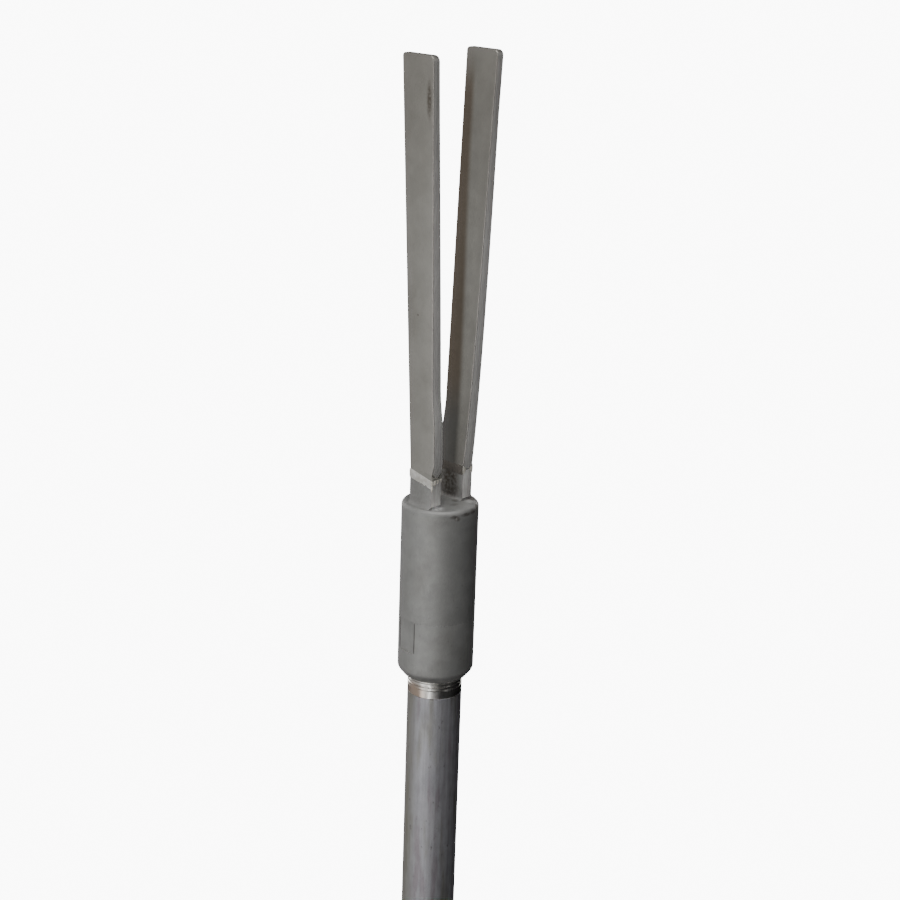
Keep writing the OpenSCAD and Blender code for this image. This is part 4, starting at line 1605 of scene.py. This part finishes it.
@dataclass
class Adapter(Assembly):
    """The adapter with its coned nose and wrench flats, and the screwed nipple under it."""

    seam: float = 289.0
    nose: float = 253.0
    tube_top: float = 242.0
    radius: float = 21.5
    nose_r: float = 18.0
    nose_angle: float = 40.0
    nose_arc: float = 4.0
    spigot_r: float = 17.1
    spigot_l: float = 12.0
    pocket_r: float = 14.5
    plug_seat: float = 274.0
    thread_top: float = 268.0
    tube_r: float = 15.5
    bore_r: float = 12.9
    play: float = 0.05
    mouth_h: float = 0.4
    mouth_r: float = 0.6
    nose_edge: float = 0.5
    flat_af: float = 41.0
    flat_h: float = 19.0
    flat_turn: float = -8.0
    pitch: float = 2.309
    groove: float = 0.42
    crest: float = 0.5
    plain_l: float = 4.5
    nipple_l: float = 25.0
    nipple_gap: float = 0.02
    nipple_edge: float = 0.25
    run_out: float = 0.1
    overlap: float = 0.5
    core_r: float = 5.0
    seam_edge: float = 0.08

    def sleeve(self) -> Piece:
        """Turns the adapter and mills its two flats.

        Returns:
            The adapter.
        """
        foot = self.nose + (self.radius - self.nose_r) / math.tan(math.radians(self.nose_angle))
        outline = rounded([
            (self.pocket_r, self.seam + self.spigot_l, 0),
            (self.pocket_r, self.plug_seat, 0),
            (self.bore_r, self.plug_seat, 0),
            (self.bore_r, self.thread_top, 0),
            (self.tube_r + self.play, self.thread_top, 0),
            (self.tube_r + self.play, self.nose + self.mouth_h, 0),
            (self.tube_r + self.mouth_r, self.nose, 0),
            (self.nose_r, self.nose, self.nose_edge),
            (self.radius, foot, self.nose_arc),
            (self.radius, self.seam - self.seam_edge, 0),
            (self.radius - self.seam_edge, self.seam, 0),
            (self.spigot_r, self.seam, 0),
            (self.spigot_r, self.seam + self.spigot_l, 0),
        ])
        piece = turned("adapter_steel_sleeve", outline)
        for turn in (0, 180):
            tool = block(
                "flat", (self.flat_af / 2, -self.radius, self.seam - self.flat_h),
                (self.radius * 2, self.radius, self.seam + 1),
            )
            tool.rotation_euler.z = math.radians(self.flat_turn + turn)
            settle(tool)
            joined(piece, tool, Join.CUT)
        return piece

    def nipple(self) -> Piece:
        """Screws the nipple: real turns of thread over a plain end, bored through.

        Returns:
            The nipple.
        """
        outer = self.tube_r - self.nipple_gap
        start = self.tube_top + self.plain_l
        top = self.tube_top + self.nipple_l
        piece = threaded("nipple_thread", outer, self.groove, self.pitch, start, top, self.crest)
        plain = turned(
            "plain_end",
            [
                (self.core_r, self.tube_top),
                (self.tube_r - self.nipple_edge, self.tube_top),
                (outer, self.tube_top + self.nipple_edge),
                (outer, start - self.run_out),
                (self.tube_r - self.groove, start + self.overlap),
                (self.core_r, start + self.overlap),
            ],
            ring=False,
        )
        joined(piece, plain, Join.ADD)
        bore = turned("bore", [(self.bore_r, self.tube_top - 1), (self.bore_r, top + 1)], ring=False)
        joined(piece, bore, Join.CUT)
        return piece

    def build(self) -> None:
        """Builds and dresses the adapter and its nipple."""
        self.hand_over(self.sleeve(), "blasted_steel", ("adapter_sleeve",), "adapter_steel", 12)
        self.hand_over(self.nipple(), "turned_steel", ("threaded_nipple",), "nipple_steel", 25)


@dataclass
class Extension(Assembly):
    """The extension tube down to its weld on the process fitting."""

    top: float = 242.0
    bottom: float = -14.0
    radius: float = 15.5
    bore_r: float = 12.9
    edge: float = 0.3
    weld_low: float = 27.0
    weld_leg: float = 3.5
    bead_steps: int = 240
    skin: float = 0.1
    ripples: int = 29
    ripple: float = 0.22
    ripple_sink: float = 0.1
    wander: float = 0.4
    wander_turns: int = 5

    def tube(self) -> Piece:
        """Turns the tube, its ends lightly broken.

        Returns:
            The tube.
        """
        outline = [
            (self.bore_r, self.bottom),
            (self.radius, self.bottom),
            (self.radius, self.top - self.edge),
            (self.radius - self.edge, self.top),
            (self.bore_r, self.top),
        ]
        return turned("extension_tube_steel", outline)

    def bead(self) -> Piece:
        """Lays the fillet weld round the tube's foot in ripples.

        Returns:
            The bead.
        """
        leg = self.weld_leg
        # A hollow fillet, as shares of its leg
        shares = ((0, 0), (1, 0), (0.72, 0.2), (0.42, 0.44), (0.18, 0.7), (0, 1))
        outline = [(self.radius + leg * out, self.weld_low + leg * up) for out, up in shares]
        piece = turned("tube_weld_bead", outline, self.bead_steps)
        for vertex in piece.data.vertices:
            spot = vertex.co / MM
            radius = math.hypot(spot.x, spot.y)
            if radius > self.radius + self.skin and spot.z > self.weld_low + self.skin:
                turn = math.atan2(spot.y, spot.x)
                phase = turn * self.ripples + self.wander * math.sin(turn * self.wander_turns)
                lift = self.ripple * abs(math.sin(phase)) - self.ripple_sink
                vertex.co.xy *= 1 + lift / radius
                vertex.co.z += lift * MM
        return piece

    def build(self) -> None:
        """Builds and dresses the tube."""
        self.hand_over(self.tube(), "drawn_steel", ("extension_tube",))
        self.hand_over(self.bead(), "weld_metal", ("fitting_weld",), angle=60)


@dataclass
class ProcessFitting(Assembly):
    """The process thread with its hexagon and stem, the gasket and the stem's rings."""

    thread_r: float = 29.8
    thread_l: float = 27.0
    thread_chamfer: float = 1.2
    pitch: float = 2.309
    depth: float = 1.2
    undercut_r: float = 28.5
    undercut_top: float = 0.6
    thread_low: float = 2.0
    joint_z: float = -1.9
    seat_r: float = 15.55
    hexagon_edge: float = 0.35
    sharp: float = 28.0
    gasket_edge: float = 0.3
    ring_edge: float = 0.15
    run_out: float = 3.0
    spare: float = 0.2

    def lower(self) -> Piece:
        """Takes the hexagon and the stem from the CAD node, with rounded edges.

        Returns:
            The lower part.
        """
        piece = softened("process_fitting", 0)
        piece.name = "fitting_hexagon_and_stem"
        with editing(piece):
            bpy.ops.mesh.select_all(action="SELECT")
            bpy.ops.mesh.bisect(
                plane_co=(0, 0, self.joint_z * MM), plane_no=(0, 0, 1), use_fill=True, clear_outer=True
            )
        apply(
            piece, "BEVEL", width=self.hexagon_edge * MM, segments=2, limit_method="ANGLE",
            angle_limit=math.radians(self.sharp), use_clamp_overlap=True,
        )
        return piece

    def thread(self) -> Piece:
        """Cuts the process thread, kept inside a chamfered outline with the tube's seat.

        Returns:
            The thread.
        """
        low = self.joint_z - self.run_out
        high = self.thread_l + self.run_out
        piece = threaded("process_thread", self.thread_r, self.depth, self.pitch, low, high)
        shape = turned(
            "envelope",
            [
                (self.seat_r, self.joint_z),
                (self.undercut_r, self.joint_z),
                (self.undercut_r, self.undercut_top),
                (self.thread_r + self.spare, self.thread_low),
                (self.thread_r + self.spare, self.thread_l - self.thread_chamfer - self.spare),
                (self.thread_r - self.thread_chamfer, self.thread_l),
                (self.seat_r, self.thread_l),
            ],
        )
        joined(piece, shape, Join.KEEP)
        return piece

    def build(self) -> None:
        """Builds and dresses the process fitting and what lies on it."""
        self.hand_over(
            gathered("process_fitting_steel", [self.lower(), self.thread()]),
            "turned_steel", ("process_fitting",),
        )
        gasket = softened("process_gasket", self.gasket_edge)
        self.hand_over(gasket, "seal_rubber", ("process_gasket",))
        ring = softened("retaining_ring", self.ring_edge)
        self.hand_over(ring, "screw_steel", ("retaining_ring",))
        self.repaint("seal_rubber", "neck_o_ring")


@dataclass
class Fittings(Assembly):
    """Pieces that keep their CAD shapes, with rounded edges where they are seen."""

    seen: tuple[tuple[str, str, float], ...] = ()
    hidden: tuple[tuple[str, tuple[str, ...]], ...] = ()

    def build(self) -> None:
        """Rounds and dresses the pieces that are seen, and repaints the hidden ones."""
        for node, slot, width in self.seen:
            self.hand_over(softened(node, width), slot, (node,))
        for slot, nodes in self.hidden:
            self.repaint(slot, *nodes)


@dataclass
class Studio:
    """The camera at the photograph's place, soft light from the left and a pale floor."""

    lens: float = 77.57
    sensor: float = 36.0
    near: float = 0.01
    far: float = 50.0
    place: Spot = (-0.729356, -0.708266, 0.702379)
    azimuth: float = -46.09
    elevation: float = 17.35
    roll: float = 1.89
    aim: Spot = (0, 0, 0.35)
    light_away: float = 1.6
    light_tall: float = 1.6
    floor_z: float = -0.75
    floor_r: float = 0.8
    floor_glow: float = 2.5
    wall_level: float = 0.6
    dark_level: float = 0.002
    backdrop: float = 10.0

    def toward(self, turn: float, lift: float) -> Vector:
        """Works out the direction in which something stands.

        Args:
            turn: Degrees to the right of the camera's direction.
            lift: Degrees above the horizon.

        Returns:
            A direction of length 1.
        """
        a = math.radians(self.azimuth + turn)
        e = math.radians(lift)
        return Vector((math.sin(a) * math.cos(e), -math.cos(a) * math.cos(e), math.sin(e)))

    def camera_axes(self) -> Matrix:
        """Works out the camera's own axes from its direction and roll.

        Returns:
            A turn whose columns are the camera's right, up and back.
        """
        a = math.radians(self.azimuth)
        r = math.radians(self.roll)
        back = self.toward(0, self.elevation)
        right = Vector((math.cos(a), math.sin(a), 0))
        up = back.cross(right)
        x = right * math.cos(r) + up * math.sin(r)
        y = up * math.cos(r) - right * math.sin(r)
        return Matrix((x, y, back)).transposed()

    def camera(self) -> None:
        """Sets up the camera."""
        data = bpy.data.cameras.new("studio_camera")
        data.sensor_fit = "HORIZONTAL"
        data.sensor_width = self.sensor
        data.lens = self.lens
        data.clip_start = self.near
        data.clip_end = self.far
        camera = bpy.data.objects.new("studio_camera", data)
        bpy.context.scene.collection.objects.link(camera)
        camera.matrix_world = Matrix.Translation(self.place) @ self.camera_axes().to_4x4()
        bpy.context.scene.camera = camera

    def softbox(self, name: str, turn: float, lift: float, size: float, power: float) -> None:
        """Hangs a soft light that looks at the fork.

        Args:
            name: The light's name.
            turn: Degrees to the right of the camera's direction.
            lift: Degrees above the horizon.
            size: The width of the light in metres.
            power: The power in watts.
        """
        data = bpy.data.lights.new(name, "AREA")
        data.shape = "RECTANGLE"
        data.size = size
        data.size_y = size * self.light_tall
        data.energy = power
        way = self.toward(turn, lift)
        light = bpy.data.objects.new(name, data)
        bpy.context.scene.collection.objects.link(light)
        light.matrix_world = (
            Matrix.Translation(Vector(self.aim) + way * self.light_away)
            @ way.to_track_quat("Z", "Y").to_matrix().to_4x4()
        )

    def room(self) -> None:
        """Lights the room: a bright wall on the left and white behind the object."""
        world = bpy.data.worlds.new("studio_room")
        bpy.context.scene.world = world
        world.use_nodes = True
        tree = world.node_tree
        tree.nodes.clear()
        way = add_node(tree, "TexCoord").outputs["Generated"]
        left = add_node(tree, "VectorMath", {0: way, 1: self.toward(-90, 0)}, operation="DOT_PRODUCT")
        near = add_node(tree, "Math", {0: left.outputs["Value"], 1: 0.0}, operation="MAXIMUM").outputs[0]
        wall = add_node(tree, "Math", {0: near, 1: near}, operation="MULTIPLY").outputs[0]
        lit = {0: wall, 1: self.wall_level, 2: self.dark_level}
        level = add_node(tree, "Math", lit, operation="MULTIPLY_ADD").outputs[0]
        shade = add_node(tree, "Background", {0: "#ffffff", 1: level})
        white = add_node(tree, "Background", {0: "#ffffff", 1: self.backdrop})
        seen = add_node(tree, "LightPath").outputs["Is Camera Ray"]
        mix = add_node(tree, "MixShader", {0: seen, 1: shade.outputs[0], 2: white.outputs[0]})
        add_node(tree, "OutputWorld", {0: mix.outputs[0]})

    def floor(self) -> None:
        """Lays the pale floor, far enough down for the cover to come off."""
        deselect()
        bpy.ops.mesh.primitive_circle_add(
            vertices=ROUND, radius=self.floor_r, fill_type="NGON", location=(0, 0, self.floor_z)
        )
        floor = bpy.context.object
        floor.name = "pale_floor"
        settle(floor)
        material = Finish("pale_studio_floor", "#f1f1f0", "#eeeeed", rough=0.8, mottle=200.0).build()
        shader = next(n for n in material.node_tree.nodes if n.type == "BSDF_PRINCIPLED")
        shader.inputs["Emission Color"].default_value = (1, 1, 1, 1)
        shader.inputs["Emission Strength"].default_value = self.floor_glow
        floor.data.materials.append(material)
        floor.visible_diffuse = False
        floor.visible_glossy = False

    def build(self) -> None:
        """Sets up camera, light and floor."""
        self.camera()
        self.room()
        # The place of each light round the camera's direction, its width and its power
        for name, turn, lift, size, power in (
            ("key_light", -28, 6, 0.3, 4.4),
            ("spark_light", -21, -19, 0.16, 2.6),
            ("low_left_light", -50, -20, 0.5, 2.4),
            ("high_left_light", -45, 40, 0.5, 1.6),
            ("front_light", 0, -5, 0.6, 1.8),
            ("rim_light", -140, 10, 0.4, 5.2),
            ("right_light", 56, 8, 0.6, 2.1),
            ("back_light", 155, 15, 0.6, 5),
            ("top_light", 0, 72, 0.5, 17),
        ):
            self.softbox(name, turn, lift, size, power)
        self.floor()
        log.info("studio ready")


# The piezo drive in the fork body and the leads through the tube, all out of sight
DRIVE = (
    ("turned_steel", ("drive_bolt", "pressure_ring", "pressure_plate", "thrust_washer")),
    ("insulator", ("insulating_discs", "lead_spacers")),
    ("piezo_ceramic", ("piezo_discs",)),
    ("contact_brass", ("contact_discs",)),
    ("screw_steel", ("clamp_nut",)),
    ("lead_rubber", ("lead_plug",)),
    ("lead_sheath", ("sensor_leads",)),
    ("insert_plastic", ("lead_socket",)),
)
# The housing with its entries and insert, the cover and the sliders, each with the width of its edges
HOUSING = (
    ("housing", "housing_aluminium", 0.5),
    ("locking_screw", "screw_steel", 0.15),
    ("ground_screw", "screw_steel", 0.2),
    ("electronics_insert", "insert_plastic", 0.25),
    ("insert_screws", "screw_steel", 0.12),
    ("terminal_block", "terminal_plastic", 0.25),
    ("terminal_screws", "screw_steel", 0.1),
    ("gland_washer", "seal_rubber", 0.2),
    ("gland_body", "gland_brass", 0.25),
    ("gland_seal", "seal_rubber", 0.3),
    ("gland_cap_nut", "gland_brass", 0.3),
    ("plug_washer", "seal_rubber", 0.2),
    ("blanking_plug", "gland_brass", 0.3),
)
HOUSING_INSIDE = (("lens_plastic", ("signal_lens",)), ("seal_rubber", ("cover_o_ring",)))
COVER = (("cover", "housing_aluminium", 0.5),)
FAILSAFE = (("failsafe_slider", "slider_plastic", 0.2),)
DENSITY = (("density_slider", "slider_plastic", 0.2),)


def main() -> None:
    """Builds the studio and every assembly in order."""
    logging.basicConfig(level=logging.INFO, format="%(name)s: %(message)s")
    Studio().build()
    finishes = Finishes()
    for assembly in (
        Fork(finishes, "probe"),
        Adapter(finishes, "probe"),
        Extension(finishes, "probe"),
        ProcessFitting(finishes, "probe"),
        Fittings(finishes, "probe", hidden=DRIVE),
        Fittings(finishes, "housing_head", HOUSING, HOUSING_INSIDE),
        Fittings(finishes, "screw_cover", COVER),
        Fittings(finishes, "failsafe_switch", FAILSAFE),
        Fittings(finishes, "density_switch", DENSITY),
    ):
        assembly.build()


if __name__ == "__main__":
    main()
